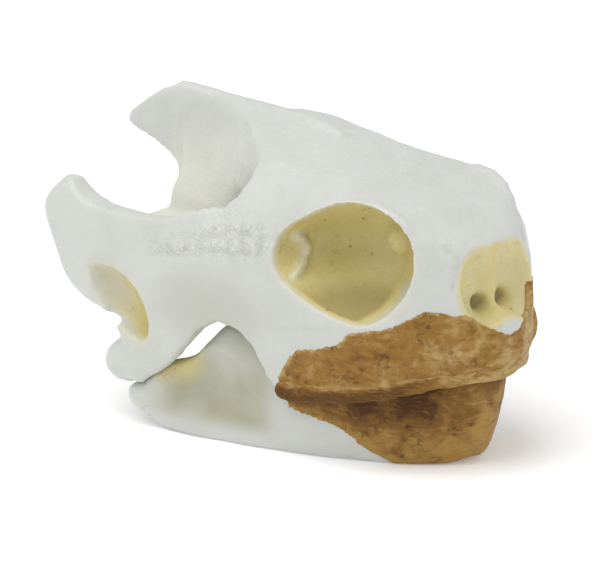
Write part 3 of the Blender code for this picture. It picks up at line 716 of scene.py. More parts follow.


# Lower beak.
# The horn that sheathes the front of the lower jaw is keratin grown over the bone: dark brown where it is
# drawn in under the upper beak, partly a painted shadow of the upper beak, and golden and translucent on the
# chin.
def fibres_group():
    """Fine wavy fibres that run along the jaw, and the short streaks of light and dark among them."""
    tree, given, ready = effect("horn fibres", {"Pitch": 3.0, "Wave": 0.6}, ["Ridges", "Streaks"])
    slow = wire(tree, "ShaderNodeTexNoise", {"Vector": given.outputs["Vector"], "Scale": 0.3, "Detail": 4.0})
    middle = (0.5, 0.5, 0.5)
    centred = wire(tree, "ShaderNodeVectorMath", {0: slow.outputs["Color"], 1: middle}, operation="SUBTRACT")
    wave = wire(tree, "ShaderNodeVectorMath", {0: centred.outputs[0]}, operation="SCALE")
    tree.links.new(given.outputs["Wave"], wave.inputs["Scale"])
    start = given.outputs["Vector"]
    bent = wire(tree, "ShaderNodeVectorMath", {0: start, 1: wave.outputs[0]}, operation="ADD")
    along = wire(tree, "ShaderNodeMapping", {"Vector": bent.outputs[0], "Scale": (0.24, 0.24, 1.0)})
    wide = wire(tree, "ShaderNodeVectorMath", {0: along.outputs[0]}, operation="SCALE")
    tree.links.new(given.outputs["Pitch"], wide.inputs["Scale"])
    tree.links.new(noise_of(tree, wide.outputs[0], 1.0, 4.0, 0.6), ready.inputs["Ridges"])
    tree.links.new(noise_of(tree, wide.outputs[0], 0.45, 4.0, 0.6), ready.inputs["Streaks"])
    return tree


def cracks_group():
    """Thin branching cracks in some places only: 1 in a crack."""
    tree, given, ready = effect("cracks", {"Size": 0.5, "Amount": 0.4}, ["Cracks"])
    torn = wire(tree, "ShaderNodeTexNoise", {"Vector": given.outputs["Vector"], "Scale": 0.8, "Detail": 4.0})
    swirl = wire(tree, "ShaderNodeVectorMath", {0: torn.outputs["Color"], "Scale": 2.2}, operation="SCALE")
    start = given.outputs["Vector"]
    shaken = wire(tree, "ShaderNodeVectorMath", {0: start, 1: swirl.outputs[0]}, operation="ADD")
    cells = wire(tree, "ShaderNodeTexVoronoi", {"Vector": shaken.outputs[0]}, feature="DISTANCE_TO_EDGE")
    tree.links.new(given.outputs["Size"], cells.inputs["Scale"])
    line = ranged(tree, cells.outputs["Distance"], 0.0, 0.11, 1.0, 0.0)
    places = noise_of(tree, given.outputs["Vector"], 0.33, 3.0)
    here = reckon(tree, "SUBTRACT", given.outputs["Amount"], places)
    here = reckon(tree, "MULTIPLY", here, 12.0, clamp=True)
    tree.links.new(times(tree, line, here), ready.inputs["Cracks"])
    return tree


FIBRES, CRACKS = fibres_group(), cracks_group()


def horn_finish(name, deep, middle, light, edge_colour, glow, fibre_wave):
    """Horn: three browns in patches and short fibres, with pits, cracks, a pale border and a dark band."""
    finish, tree, shader, where = new_finish(name)
    band, border, gold_and_shade = (mark_of(tree, mark) for mark in ("band", "border", "gold_and_shade"))
    fibres = placed(tree, FIBRES, where, pitch=2.7, wave=fibre_wave)
    ridge = fibres.outputs["Ridges"]
    broad = placed(tree, MOTTLE, where, size=0.24, contrast=2.2).outputs[0]
    fine = placed(tree, MOTTLE, where, size=1.1, contrast=1.8).outputs[0]
    # A high gold mark lightens the horn; on the lower horn its low values, up under the upper beak, are partly
    # painted shadow.
    tone = times(tree, reckon(tree, "SUBTRACT", gold_and_shade, 0.5), 0.7)
    tone = summed(tree, tone, (fibres.outputs["Streaks"], 0.35), (broad, 0.4), (fine, 0.25))
    colour = tinted(tree, ranged(tree, tone, 0.22, 0.48), deep, middle)
    colour = tinted(tree, ranged(tree, tone, 0.48, 0.84), colour, light)
    colour = tinted(tree, ranged(tree, ridge, 0.55, 0.78, 0.0, 0.38), colour, light)
    colour = tinted(tree, ranged(tree, ridge, 0.45, 0.28, 0.0, 0.5), colour, deep)
    pale = times(tree, ranged(tree, band, 0.05, 0.3), ranged(tree, band, 0.62, 0.35))
    colour = tinted(tree, times(tree, pale, ranged(tree, ridge, 0.4, 0.65, 0.0, 0.7)), colour, light)
    wear_and_edge_highlight = summed(tree, times(tree, band, 0.6), (ridge, 0.9))
    rough_band = ranged(tree, wear_and_edge_highlight, 0.74, 1.06, 0.0, 0.9)
    colour = tinted(tree, rough_band, colour, edge_colour)
    sizes = {"Vector": where, "Scale": 0.9, "Detail": 4.0, "Roughness": 0.7}
    shaken = wire(tree, "ShaderNodeTexNoise", sizes)
    swirl = wire(tree, "ShaderNodeVectorMath", {0: shaken.outputs["Color"], "Scale": 1.5}, operation="SCALE")
    moved = wire(tree, "ShaderNodeVectorMath", {0: where, 1: swirl.outputs[0]}, operation="ADD")
    pits = placed(tree, PORES, moved.outputs[0], size=0.6, amount=0.2).outputs[0]
    cracks = placed(tree, CRACKS, where, size=0.7, amount=0.42).outputs[0]
    marks = reckon(tree, "MAXIMUM", times(tree, pits, 0.6), times(tree, cracks, 0.4))
    colour = tinted(tree, marks, colour, (0.06, 0.022, 0.005))
    thin = summed(tree, border, (reckon(tree, "SUBTRACT", fine, 0.5), 0.9))
    colour = tinted(tree, ranged(tree, thin, 0.6, 1.15, 0.0, 0.75), colour, glow)
    tree.links.new(colour, shader.inputs["Base Color"])
    gloss = ranged(tree, noise_of(tree, where, 1.3, 4.0), 0.3, 0.7, 0.46, 0.70)
    tree.links.new(summed(tree, gloss, (band, 0.12)), shader.inputs["Roughness"])
    lumps, grain = noise_of(tree, where, 1.5, 4.0, 0.6), noise_of(tree, where, 5.5, 3.0)
    height = times(tree, ridge, reckon(tree, "ADD", times(tree, band, 0.7), 0.26))
    height = summed(tree, height, (marks, -0.32), (lumps, 0.28), (grain, 0.07))
    bump = wire(tree, "ShaderNodeBump", {"Height": height, "Strength": 0.85, "Distance": 0.001})
    tree.links.new(bump.outputs[0], shader.inputs["Normal"])
    translucent(shader, 0.12, (1.0, 0.5, 0.2), 0.0008, 0.25)
    return finish


LOWER_HORN = horn_finish(
    "lower horn", (0.085, 0.032, 0.004), (0.20, 0.094, 0.015), (0.38, 0.225, 0.055), (0.10, 0.04, 0.006),
    (0.42, 0.26, 0.08), 1.8,
)
lower_horn = stand(smoothed(fuse(clay_of(lower_horn_form), 0.24), 1))
places = points_of(lower_horn)
edge = away_from(places, LOWER_LINE)
# The horn is brown up under the upper beak, partly its own colour and partly painted shadow, and golden low
# down, in front and near its edge.
low_part = ramp(8.6, 1.6, places[2])
front_part = ramp(8.5, 1.5, np.abs(places[0])) * ramp(14.0, 8.0, places[2])
brown_and_shadow = (1 - low_part) * (1 - 0.8 * front_part) * (1 - 0.5 * ramp(2.4, 0.4, edge))
paint(lower_horn, "gold_and_shade", 0.16 + 0.74 * (1 - brown_and_shadow))
paint(lower_horn, "band", np.zeros(len(edge)))
paint(lower_horn, "border", ramp(1.0, 0.1, edge))
paint(lower_horn, "crinkle", 0.5 + 0.5 * ramp(2.0, 8.0, places[2]))
lower_horn = with_relief(
    lower_horn, LOWER_HORN, lift=LIFT, unevenness=0.25, unevenness_size=0.3, crinkle=0.18, crinkle_size=1.6,
    stretch=(0.6, 0.6, 1.2), seed=7.0,
)
set_down("lower_horn", lower_horn, "lower_beak")


# Cranium.
# The skull without its lower jaw is one piece of dry bone, from the snout and the eye sockets to the crest
# and the lobes over the ears, and it rests in the lower jaw's two cups. Its forms are modelled solid, then the
# openings are carved.

# Each row: s, half width, height of the widest line, roof, lower edge, and how square the section is above and
# below that line.
HEAD = [
    (0.0, 1.8, 16.6, 18.4, 13.4, 2.6, 2.3),
    (0.5, 3.2, 17.2, 20.8, 12.4, 2.8, 2.3),
    (1.2, 4.4, 17.8, 25.0, 11.9, 2.8, 2.4),
    (2.2, 5.8, 18.2, 28.0, 11.5, 3.0, 2.6),
    (4.0, 7.6, 18.2, 29.3, 11.0, 3.6, 3.2),
    (6.5, 9.9, 18.0, 30.3, 10.3, 4.4, 4.4),
    (10.5, 12.3, 17.8, 31.8, 8.9, 6.6, 6.0),
    (13.5, 13.3, 17.6, 32.6, 8.3, 6.6, 6.0),
    (16.0, 14.1, 17.5, 33.3, 7.9, 5.2, 6.0),
    (21.0, 15.3, 17.2, 34.4, 7.5, 3.3, 6.0),
    (26.0, 16.2, 17.0, 35.5, 7.2, 2.4, 6.0),
    (33.0, 17.6, 17.0, 36.5, 6.8, 2.1, 6.0),
    (39.0, 18.5, 17.0, 36.6, 6.0, 2.5, 6.0),
    (44.0, 19.1, 17.0, 36.6, 5.0, 3.0, 6.0),
    (49.0, 19.4, 17.5, 36.3, 11.8, 3.0, 6.0),
    (53.0, 19.6, 19.5, 35.8, 13.2, 3.0, 6.0),
    (56.0, 19.5, 21.5, 34.0, 15.0, 3.0, 6.0),
    (58.6, 19.1, 23.6, 31.0, 19.0, 2.6, 5.0),
    (60.4, 18.5, 24.6, 28.4, 21.8, 2.4, 3.4),
    (61.4, 17.0, 25.0, 26.8, 23.6, 2.2, 2.2),
]
RING_POINTS = 96
WALL = 2.1


def head_ring(s, depth=0.0):
    """The head's section at s, pulled in by depth on every side."""
    width, middle, roof, floor, square_up, square_down = between(HEAD, s)
    ring = []
    for k in range(RING_POINTS):
        angle = 2 * math.pi * k / RING_POINTS
        c, v = math.cos(angle), math.sin(angle)
        p = 2 / (square_up if v >= 0 else square_down)
        reach = (roof - depth - middle) if v >= 0 else (middle - floor - depth)
        ring.append(at(power(c, p) * (width - depth), s, middle + power(v, p) * max(reach, 0.2)))
    return ring


def shrunk(outline, places, centre):
    """Rings across the head from an outline of (s, z) points: each place is x and a scale."""
    s0, z0 = centre
    rings = []
    for x, scale in places:
        rings.append([at(x, s0 + (s - s0) * scale, z0 + (z - z0) * scale) for s, z in outline])
    return rings


# The eye sockets: the rim's oval on the side of the head, and the bowl behind it.
EYE_RIM = [
    (24.5, 25.4), (24.4, 27.0), (23.4, 28.4), (21.4, 29.9), (19.3, 31.2), (17.7, 32.0), (16.2, 32.4),
    (14.4, 32.5), (12.5, 32.4), (10.5, 31.8), (8.9, 30.8), (7.7, 29.4), (6.9, 27.8), (6.7, 25.9), (7.0, 24.0),
    (8.0, 22.1), (9.6, 20.3), (11.5, 19.1), (13.5, 18.8), (15.5, 19.2), (18.2, 20.1), (20.7, 21.3),
    (22.8, 22.6), (24.1, 23.9),
]


def eye_sockets():
    clay = bmesh.new()
    depths = [
        (24.0, 1.09), (13.0, 1.04), (11.4, 1.02), (9.8, 0.98), (8.2, 0.91), (6.8, 0.82), (5.6, 0.7),
        (4.7, 0.55), (4.1, 0.38), (3.8, 0.2),
    ]
    add_loft(clay, shrunk(EYE_RIM, depths, (15.2, 26.0)))
    return mirrored(clay)


# Inside each eye socket: a low hooked ridge on the wall behind, and a fold on the wall in front.
REAR_RIDGE = [
    (11.7, 24.3, 26.9), (10.8, 24.0, 26.4), (10.3, 23.8, 25.6), (10.4, 23.6, 24.7), (11.0, 23.4, 23.9),
    (12.2, 23.1, 23.2), (13.4, 22.7, 22.6),
]


def eye_ridges(clay):
    half = bmesh.new()
    add_rod(half, [at(*point) for point in REAR_RIDGE], [0.5, 0.7, 0.65, 0.6, 0.55, 0.5, 0.4])
    add_ball(half, at(4.4, 13.7, 27.4), (1.7, 2.1, 2.1))
    pour(clay, mirrored(half))


# The beak swells out in front, below the nose, and has a thick lower edge along each side.
def beak_swelling(clay):
    half = bmesh.new()
    band = [
        at(-1.0, 4.1, 16.2), at(1.0, 4.1, 16.2), at(3.4, 4.8, 16.2), at(6.0, 6.7, 16.0),
        at(8.1, 9.8, 15.2), at(9.5, 14.0, 14.2),
    ]
    add_rod(half, band, [3.9, 3.9, 3.9, 3.8, 3.8, 3.7], 24)
    edge = [
        at(-1.0, 1.7, 13.0), at(1.0, 1.7, 13.0), at(3.6, 2.6, 12.8), at(6.2, 4.5, 12.3), at(8.6, 7.2, 11.6),
        at(11.2, 11.3, 10.5), at(12.9, 16.0, 9.5), at(14.1, 20.5, 8.8), at(14.9, 24.2, 8.2),
    ]
    add_rod(half, edge, [0.8, 0.8, 0.9, 1.0, 1.1, 1.15, 1.2, 1.1, 0.8])
    pour(clay, mirrored(half))


# The raised upper rim of each eye socket.
def brows(clay):
    half = bmesh.new()
    line = [
        at(8.6, 8.4, 30.0), at(9.2, 10.6, 31.4), at(9.8, 13.0, 32.0), at(10.6, 16.0, 32.0),
        at(11.8, 19.0, 30.9), at(13.0, 22.0, 28.9),
    ]
    add_rod(half, line, [0.7, 0.95, 1.05, 1.05, 0.95, 0.7])
    pour(clay, mirrored(half))


# The hollow for the jaw muscles, from behind the eye to the ear, open below.
def muscle_hollows():
    clay = bmesh.new()
    rings = []
    for s in stations(30.0, 43.4):
        round_off = 0.8 * (math.exp(-(s - 30.0)) + math.exp(-(43.4 - s)))
        ring = [p for p in head_ring(s, WALL + round_off) if p.x >= 5.2 and p.z >= 17.0]
        ring.sort(key=lambda p: math.atan2(p.z - 17.0, p.x))
        widest, top = ring[0].x, ring[-1].z
        steps = [math.pi / 2 * k / 15 for k in range(16)]
        square = between(HEAD, s)[4]
        reach = [power(math.cos(a), 2 / square) for a in steps]
        lift = [power(math.sin(a), 2 / square) for a in steps]
        arc = [(5.2 + (widest - 5.2) * r, 17.0 + (top - 17.0) * v) for r, v in zip(reach, lift)]
        lean = 3.4 * (43.4 - s) / 13.4
        ring = [(5.2, -4.0), (widest, -4.0), *arc]
        rings.append([at(x, s + lean * min(1.0, max(0.0, (z - 19.0) / 9.0)), z) for x, z in ring])
    add_loft(clay, rings)
    return mirrored(clay)


# The gap in the back of the roof, seen from above: it leaves the arch over the ear at the side.
def roof_gaps():
    clay = bmesh.new()
    outline = [
        (1.2, 48.0), (1.6, 44.0), (3.0, 40.9), (4.8, 39.2), (6.4, 37.0), (7.6, 34.8), (9.0, 33.3),
        (11.0, 32.7), (12.8, 32.9), (14.2, 34.2), (15.0, 36.5), (15.4, 40.0), (15.6, 46.0), (15.6, 52.0),
        (15.4, 56.0), (15.0, 70.0), (1.2, 70.0),
    ]
    add_slab(clay, outline, 22.4, 60.0)
    top_edge = [
        (35.6, 29.6), (37.0, 28.5), (39.0, 27.4), (41.5, 26.7), (44.0, 26.4), (48.0, 26.4), (51.0, 26.5),
        (53.2, 26.9), (54.9, 27.7), (56.4, 28.8), (58.4, 28.5), (60.2, 26.8), (61.6, 25.0),
        (70.0, 25.0), (70.0, 60.0), (35.6, 60.0),
    ]
    add_slab(clay, top_edge, 11.5, 30.0, across="x")
    return mirrored(clay)


# Behind the brain case, between the two ear lobes, with a deeper hollow below each side bar.
def back_hollow():
    clay = bmesh.new()
    outline = [
        (0.0, 55.4), (7.0, 54.8), (12.4, 53.8), (14.2, 54.6), (15.8, 57.6), (16.2, 60.0), (15.8, 70.0),
        (0.0, 70.0),
    ]
    add_slab(clay, outline, -5.0, 60.0)
    add_ball(clay, at(11.0, 54.4, 15.4), (3.4, 4.2, 2.3))
    add_ball(clay, at(4.9, 56.0, 14.4), (1.9, 3.0, 1.7))
    return mirrored(clay)


# The open lower edge of the cheek, seen from the side.
def cheek_gaps():
    clay = bmesh.new()
    arch = [
        (24.4, -5.0), (24.7, 7.0), (25.5, 10.6), (27.2, 13.6), (29.6, 15.4), (32.4, 15.7), (34.8, 14.4),
        (37.0, 11.9), (39.4, 9.2), (42.0, 7.0), (44.0, 5.4), (44.2, -5.0),
    ]
    add_slab(clay, arch, 7.5, 30.0, across="x")
    return mirrored(clay)


# The mouth's roof and the throat: everything under the palate and between the jaw edges.
def mouth():
    clay = bmesh.new()
    half_widths = [
        (3.4, 3.0), (5.0, 5.6), (7.5, 8.0), (11.0, 10.0), (16.0, 11.6), (21.0, 12.7), (25.0, 13.4),
        (36.0, 14.0), (44.0, 13.2), (50.0, 12.8), (70.0, 12.8),
    ]
    for side in (-1, 1):
        add_ball(clay, at(3.1 * side, 15.0, 13.4), (1.7, 4.2, 2.6))
    rings = []
    top = 13.4
    front = [3.4, 4.2, 5.0, 6.2, 7.5, 9.0, 11.0, 13.5, 16.0, 18.5, 21.0]
    for s in front + [25.0, 30.0, 36.0, 44.0, 50.0, 60.0, 70.0]:
        half = between(half_widths, s)[0]
        ring = [(-half, -5.0), (half, -5.0), (half, top - 2.0), (half - 1.6, top - 0.4), (0.0, top)]
        rings.append([at(x, s, z) for x, z in [*ring, (1.6 - half, top - 0.4), (-half, top - 2.0)]])
    add_loft(clay, rings)
    return clay


# The nose opening: a shallow bowl on each side of a low wall, with a round passage at its foot.
NOSE, NOSE_RADII = at(2.9, 1.2, 23.6), (3.5, 3.0, 4.7)
NOSE_MIDDLE, NOSE_MIDDLE_RADII = at(0.0, 1.2, 24.0), (4.3, 2.5, 4.5)
PASSAGE, PASSAGE_RADII = at(1.75, 3.9, 20.6), (1.35, 2.6, 1.35)


def nose_opening():
    clay = bmesh.new()
    add_ball(clay, NOSE, NOSE_RADII, (-8, 0, 0))
    add_ball(clay, PASSAGE, PASSAGE_RADII)
    add_ball(clay, NOSE_MIDDLE, NOSE_MIDDLE_RADII, (-8, 0, 0))
    return mirrored(clay)


# The ear: a slanting oval bowl, open behind through a notch above the jaw joint.
EAR_RIM = [
    (51.0, 16.8), (51.8, 18.4), (51.7, 19.6), (49.8, 20.0), (47.5, 19.8), (45.4, 18.9), (43.8, 17.5),
    (42.8, 16.1), (42.2, 14.8), (41.9, 13.5), (42.0, 12.3), (42.5, 11.3), (43.5, 10.9), (44.8, 11.2),
    (46.4, 12.2), (48.2, 13.0), (49.9, 14.7),
]


def ear_hollows():
    clay = bmesh.new()
    depths = [(26.0, 1.05), (19.7, 1.0), (18.5, 0.9), (17.6, 0.76), (17.0, 0.56), (16.6, 0.3)]
    add_loft(clay, shrunk(EAR_RIM, depths, (44.6, 13.2)))
    add_ball(clay, at(17.6, 51.1, 11.1), (3.6, 2.8, 2.2), (-8, 0, 0))
    add_ball(clay, at(17.4, 53.0, 11.1), (4.6, 3.0, 1.6), (-12, 0, 0))
    add_ball(clay, at(18.6, 49.6, 12.2), (3.0, 1.9, 1.2))
    return mirrored(clay)


# The brain case, wide under the roof's rear rim and narrowing upwards and backwards into the crest.
def brain_case(clay):
    rows = [
        (25.5, 8.8, 9.6, 10.0, 5.6, 34.2), (30.0, 8.6, 9.4, 9.8, 5.6, 35.0), (34.0, 7.9, 8.9, 9.0, 5.6, 35.4),
        (36.0, 7.0, 8.2, 8.2, 5.7, 35.6), (38.0, 5.6, 6.9, 7.2, 5.8, 35.9), (40.0, 4.1, 5.4, 6.0, 6.0, 36.2),
        (43.0, 2.3, 3.4, 4.6, 6.4, 36.7), (48.0, 1.2, 1.9, 3.2, 6.0, 37.0), (53.4, 1.0, 1.2, 1.8, 4.6, 36.8),
    ]
    rings = []
    for s in stations(25.5, 53.4):
        top, upper, middle, low, roof = between(rows, s)
        half = [(top * 0.6, roof), (top, roof - 0.7), (upper, 32.6), (middle, 28.6)]
        half += [(max(low * 0.9, middle * 0.8), 25.0), (low, 22.0), (low, 15.0), (low * 0.7, 13.0)]
        rings.append([at(x, s, z) for x, z in half] + [at(-x, s, z) for x, z in half[::-1]])
    add_loft(clay, rings)


# The crest's blade, drawn from the side.
def crest(clay):
    blade = [
        (26.0, 35.0), (30.0, 36.2), (33.0, 36.9), (36.0, 37.2), (44.0, 37.4), (52.0, 37.3), (55.6, 37.0),
        (58.4, 36.0), (61.2, 34.2), (63.6, 32.4), (64.2, 31.4), (64.0, 30.6), (62.4, 30.0), (59.6, 29.3),
        (57.0, 28.2), (55.1, 26.9), (53.9, 25.4), (53.4, 23.8), (53.2, 22.0), (44.0, 22.0), (36.0, 28.0),
        (26.0, 33.0),
    ]
    add_slab(clay, blade, -0.95, 0.95, across="x")
    rail = []
    for s in stations(28.0, 56.0, 2.0):
        rail.append(at(0.0, s, 36.5 - 0.02 * max(0.0, 34.0 - s) ** 2 - 0.012 * max(0.0, s - 52.0) ** 2))
    add_rod(clay, rail, [0.7, 0.8, 0.95] + [1.1] * (len(rail) - 3))


# The ear capsule: a thick bar from the brain case out to the arch, with a step at its front for the muscle.
def ear_capsules(clay):
    half = bmesh.new()
    add_rod(half, [at(2.0, 48.5, 18.5), at(8.0, 48.8, 18.6), at(15.0, 49.0, 18.5)], [4.6, 4.3, 4.6], 20)
    add_ball(half, at(9.0, 44.6, 19.5), (4.6, 2.6, 2.6))
    add_rod(half, [at(4.0, 52.0, 19.5), at(9.0, 52.8, 20.2), at(15.6, 53.6, 21.0)], [2.6, 2.2, 2.4])
    add_rod(half, [at(4.0, 41.0, 14.6), at(9.0, 43.0, 14.6), at(14.6, 45.0, 13.4)], [1.6, 1.5, 2.2])
    pour(clay, mirrored(half))


# The keel under the brain case and the ridges that lead from it to the jaw joints.
def palate_ridges(clay):
    half = bmesh.new()
    keel = [at(0.0, 20.0, 13.8), at(0.0, 36.0, 13.2), at(0.0, 48.0, 13.4), at(0.0, 54.0, 14.6)]
    add_rod(half, keel, [0.8, 1.3, 2.0, 1.6])
    edge = [
        at(6.4, 26.0, 13.9), at(4.8, 34.0, 13.7), at(6.4, 39.0, 13.6), at(10.2, 42.4, 12.8),
        at(12.6, 44.0, 11.2),
    ]
    add_rod(half, edge, [1.0, 1.1, 1.1, 1.2, 1.3])
    add_ball(half, at(4.6, 50.5, 13.4), (2.4, 3.0, 1.3))
    pour(clay, mirrored(half))


# The bone that carries the jaw joint, below the ear.
def joint_columns(clay):
    half = bmesh.new()
    add_ball(half, JOINT, JOINT_RADII)
    add_rod(half, [at(16.4, 47.0, 8.2), at(16.3, 45.4, 11.0), at(16.2, 44.0, 15.0)], [2.6, 2.3, 2.2])
    outer = [at(17.0, 48.4, 8.6), at(17.1, 46.6, 8.0), at(17.2, 44.6, 7.6), at(16.9, 43.0, 9.0)]
    add_rod(half, outer, [2.0, 2.5, 2.3, 1.8])
    inner = [at(15.0, 47.0, 8.6), at(12.6, 44.8, 8.4), at(12.2, 43.4, 9.6), at(13.4, 43.0, 13.0)]
    add_rod(half, inner, [1.8, 1.2, 1.1, 1.4])
    add_rod(half, [at(16.0, 50.0, 21.5), at(17.2, 53.4, 18.5), at(17.4, 52.4, 15.0)], [3.0, 2.2, 1.5])
    pour(clay, mirrored(half))


# The knob behind, on which the neck turns, and the opening above it.
def neck_knob(clay):
    add_ball(clay, at(0.0, 53.0, 20.3), (4.0, 2.4, 3.5))
    add_ball(clay, at(0.0, 55.3, 16.4), (2.3, 2.4, 1.9))
    add_ball(clay, at(0.0, 52.0, 16.0), (4.2, 4.4, 2.8))


def neck_opening():
    clay = bmesh.new()
    add_ball(clay, at(0.0, 56.0, 20.8), (2.6, 5.6, 2.4))
    return clay


head_clay = bmesh.new()
add_loft(head_clay, [head_ring(s) for s in stations(0.0, 60.6, 0.6)])
head_mesh = carve(
    fuse(head_clay), muscle_hollows(), roof_gaps(), back_hollow(), cheek_gaps(), mouth(), nose_opening()
)
head_clay = clay_of(head_mesh)
PARTS = (beak_swelling, brain_case, crest, ear_capsules, joint_columns, palate_ridges, neck_knob, brows)
for add_part in PARTS:
    add_part(head_clay)
head_mesh = carve(fuse(head_clay), eye_sockets(), ear_hollows(), neck_opening())
head_clay = clay_of(head_mesh)
eye_ridges(head_clay)
head_mesh = smoothed(fuse(head_clay), 6)
head_mesh = combine(head_mesh, swollen(jaw_form, JOINT_GAP), "DIFFERENCE")

# Where the upper horn's edge runs, from below the nose to the corner of the mouth: x, s and z.
UPPER_LINE = [
    (0.0, 0.4, 17.6), (1.6, 0.6, 18.0), (3.1, 1.1, 18.9), (4.6, 1.7, 20.0), (6.2, 2.7, 20.5),
    (7.8, 3.9, 20.9), (9.2, 5.4, 20.9), (10.3, 6.8, 20.2), (11.2, 8.2, 19.3), (11.9, 9.6, 18.5),
    (12.8, 11.9, 18.0), (13.5, 14.0, 17.5), (13.7, 14.8, 16.0), (14.3, 17.4, 15.2), (14.8, 20.2, 14.5),
    (15.2, 21.5, 13.4), (15.4, 22.6, 11.8), (15.6, 23.9, 10.1), (15.8, 24.9, 8.4), (15.9, 25.6, 6.6),
]


def upper_core(depth):
    """The bone inside the upper horn."""
    clay = bmesh.new()
    rings = []
    for s in stations(depth * 0.9, 40.0, 0.8):
        floor = between(HEAD, s)[3] + EDGE_HORN + depth - HORN
        rings.append([at(p.x, p.y, max(p.z, floor)) for p in head_ring(s, depth)])
    add_loft(clay, rings)
    return clay


def inside_outline(s, z, outline):
    """Distance of points from a closed outline on the head's side: positive inside it."""
    nearest = np.full(len(s), 1e9)
    inside = np.zeros(len(s), dtype=bool)
    for (s1, z1), (s2, z2) in zip(outline, outline[1:] + outline[:1]):
        ds, dz = s2 - s1, z2 - z1
        t = np.clip(((s - s1) * ds + (z - z1) * dz) / (ds * ds + dz * dz), 0.0, 1.0)
        nearest = np.minimum(nearest, np.hypot(s - s1 - ds * t, z - z1 - dz * t))
        crosses = (z1 > z) != (z2 > z)
        inside ^= crosses & (s < ds * (z - z1) / (dz if dz else 1e-9) + s1)
    return np.where(inside, nearest, -nearest)


def depth_in_head(x, s, z):
    """How deep each point lies under the head's outer form, in millimetres."""
    table = np.array(HEAD).T
    width, middle, roof, floor, square_up, square_down = (np.interp(s, table[0], row) for row in table[1:])
    above = z >= middle
    reach = np.where(above, roof - middle, middle - floor)
    square = np.where(above, square_up, square_down)
    fill = (np.abs(x) / width) ** square + (np.abs(z - middle) / reach) ** square
    return (1 - fill ** (1 / square)) * np.minimum(width, reach)


upper_horn_form, skull_bone = split(head_mesh, ragged(UPPER_LINE, 0.16, 9), upper_core, True)
# The seam below the eye socket, the fold beside the nose, and two small openings for vessels.
CHEEK_SEAM = [(15.8, 23.7, 16.3), (14.9, 20.0, 17.1), (14.1, 16.2, 17.6)]
NOSE_FOLD = [(6.2, 4.6, 28.2), (5.5, 3.3, 26.9), (6.3, 3.3, 25.2)]
VESSEL_HOLES = [[(6.6, 3.2, 24.2), (6.6, 3.4, 24.1)], [(1.4, 48.0, 32.5), (1.4, 48.3, 32.4)]]
scored(skull_bone, CHEEK_SEAM, 0.2, 0.3)
scored(skull_bone, NOSE_FOLD, 0.3, 0.45)
for hole in VESSEL_HOLES:
    scored(skull_bone, hole, 0.35, 0.3)
x, s, z = points_of(skull_bone)
side = np.abs(x)
in_eye = inside_outline(s, z, EYE_RIM)
in_ear = inside_outline(s, z, EAR_RIM)
deep = depth_in_head(x, s, z)


def in_ball(centre, radii):
    """Distance of each point from a ball's middle, as a share of its radii."""
    return np.sqrt(sum(((p - c) / r) ** 2 for p, c, r in zip((side, s, z), centre, radii)))


# The rough, glossy patch on the cheek behind the eye.
ROUGH_PATCH = [
    (38.0, 25.3), (35.1, 27.0), (30.1, 28.4), (26.6, 27.9), (25.6, 26.0), (27.0, 24.0), (31.0, 23.6),
    (34.5, 23.6), (38.5, 22.5), (41.7, 23.0), (41.5, 24.2),
]

in_nose = np.minimum(in_ball(NOSE, NOSE_RADII), in_ball(NOSE_MIDDLE, NOSE_MIDDLE_RADII))
in_nose = 0.85 * ramp(1.3, 1.02, in_nose) + 0.8 * ramp(1.25, 1.0, in_ball(PASSAGE, PASSAGE_RADII))
in_nose += 0.4 * ramp(0.9, 0.3, side) * ramp(4.4, 3.0, np.abs(z - 23.8)) * (s < 4.5)
# In each eye socket the ochre stain grows towards the socket's bottom: that growth is painted shade.
stain_and_shade = ramp(-1.2, -0.5, in_eye) * ramp(0.5, 1.5, deep) * (0.88 + 0.5 * ramp(23.0, 19.5, z))
stain_and_shade *= 1 - 0.75 * ramp(14.6, 11.5, s) * ramp(24.0, 21.5, z)
on_ridge = away_from((x, s, z), REAR_RIDGE)
stain_and_shade *= 1 - 0.7 * ramp(1.05, 0.5, on_ridge)
stain_and_shade = np.maximum(stain_and_shade, 0.8 * np.clip(in_nose, 0.0, 1.0) * (s < 9.0))
stain_and_shade = np.maximum(stain_and_shade, (0.46 + 0.3 * ramp(49.0, 44.5, s)) * ramp(-0.2, 0.9, in_ear) * (side > 14.0))
stain_and_shade = np.maximum(stain_and_shade, 0.1 * ramp(3.5, 9.0, deep))
paint_hollows(skull_bone)
# Painted light for the hollow behind each eye, deep under the head's outer form, standing in for light through
# its thin bone.
paint(skull_bone, "thin", 0.8 * ramp(0.0, 8.0, deep) * ramp(26.0, 37.0, s) * ramp(15.0, 20.0, z))
paint(skull_bone, "stain_and_shade", stain_and_shade)
eye_edge = np.exp(-((in_eye + 0.1) / 0.6) ** 2) * ramp(0.0, 0.5, deep) * ramp(1.9, 0.9, deep) * (side > 6.0)
eye_edge = np.maximum(eye_edge, ramp(1.05, 0.55, on_ridge))
paint(skull_bone, "rim", eye_edge + 0.3 * np.exp(-(in_ear / 0.7) ** 2) * (side > 15.0))
# Painted shade on the cheek behind and below the eye, where it curves inwards.
paint(skull_bone, "painted_shade", 0.45 * ramp(1.3, 0.3, in_ball((16.0, 33.5, 17.0), (8.0, 9.0, 4.8))) * (deep < 2.0))
patch = ramp(-1.3, 1.5, inside_outline(s, z, ROUGH_PATCH)) * (deep < 1.2) * (side > 9.0)
patch *= 1.0 + 0.7 * np.sin(1.7 * s + 1.1 * z) * np.sin(1.9 * z - 1.2 * s + 1.0)
paint(skull_bone, "crinkle", patch + 0.06)
skull_bone = with_relief(
    skull_bone, BONE, unevenness=0.4, unevenness_size=0.16, crinkle=0.75, crinkle_size=0.6, seed=11.0
)
set_down("skull_bone", skull_bone, "cranium")


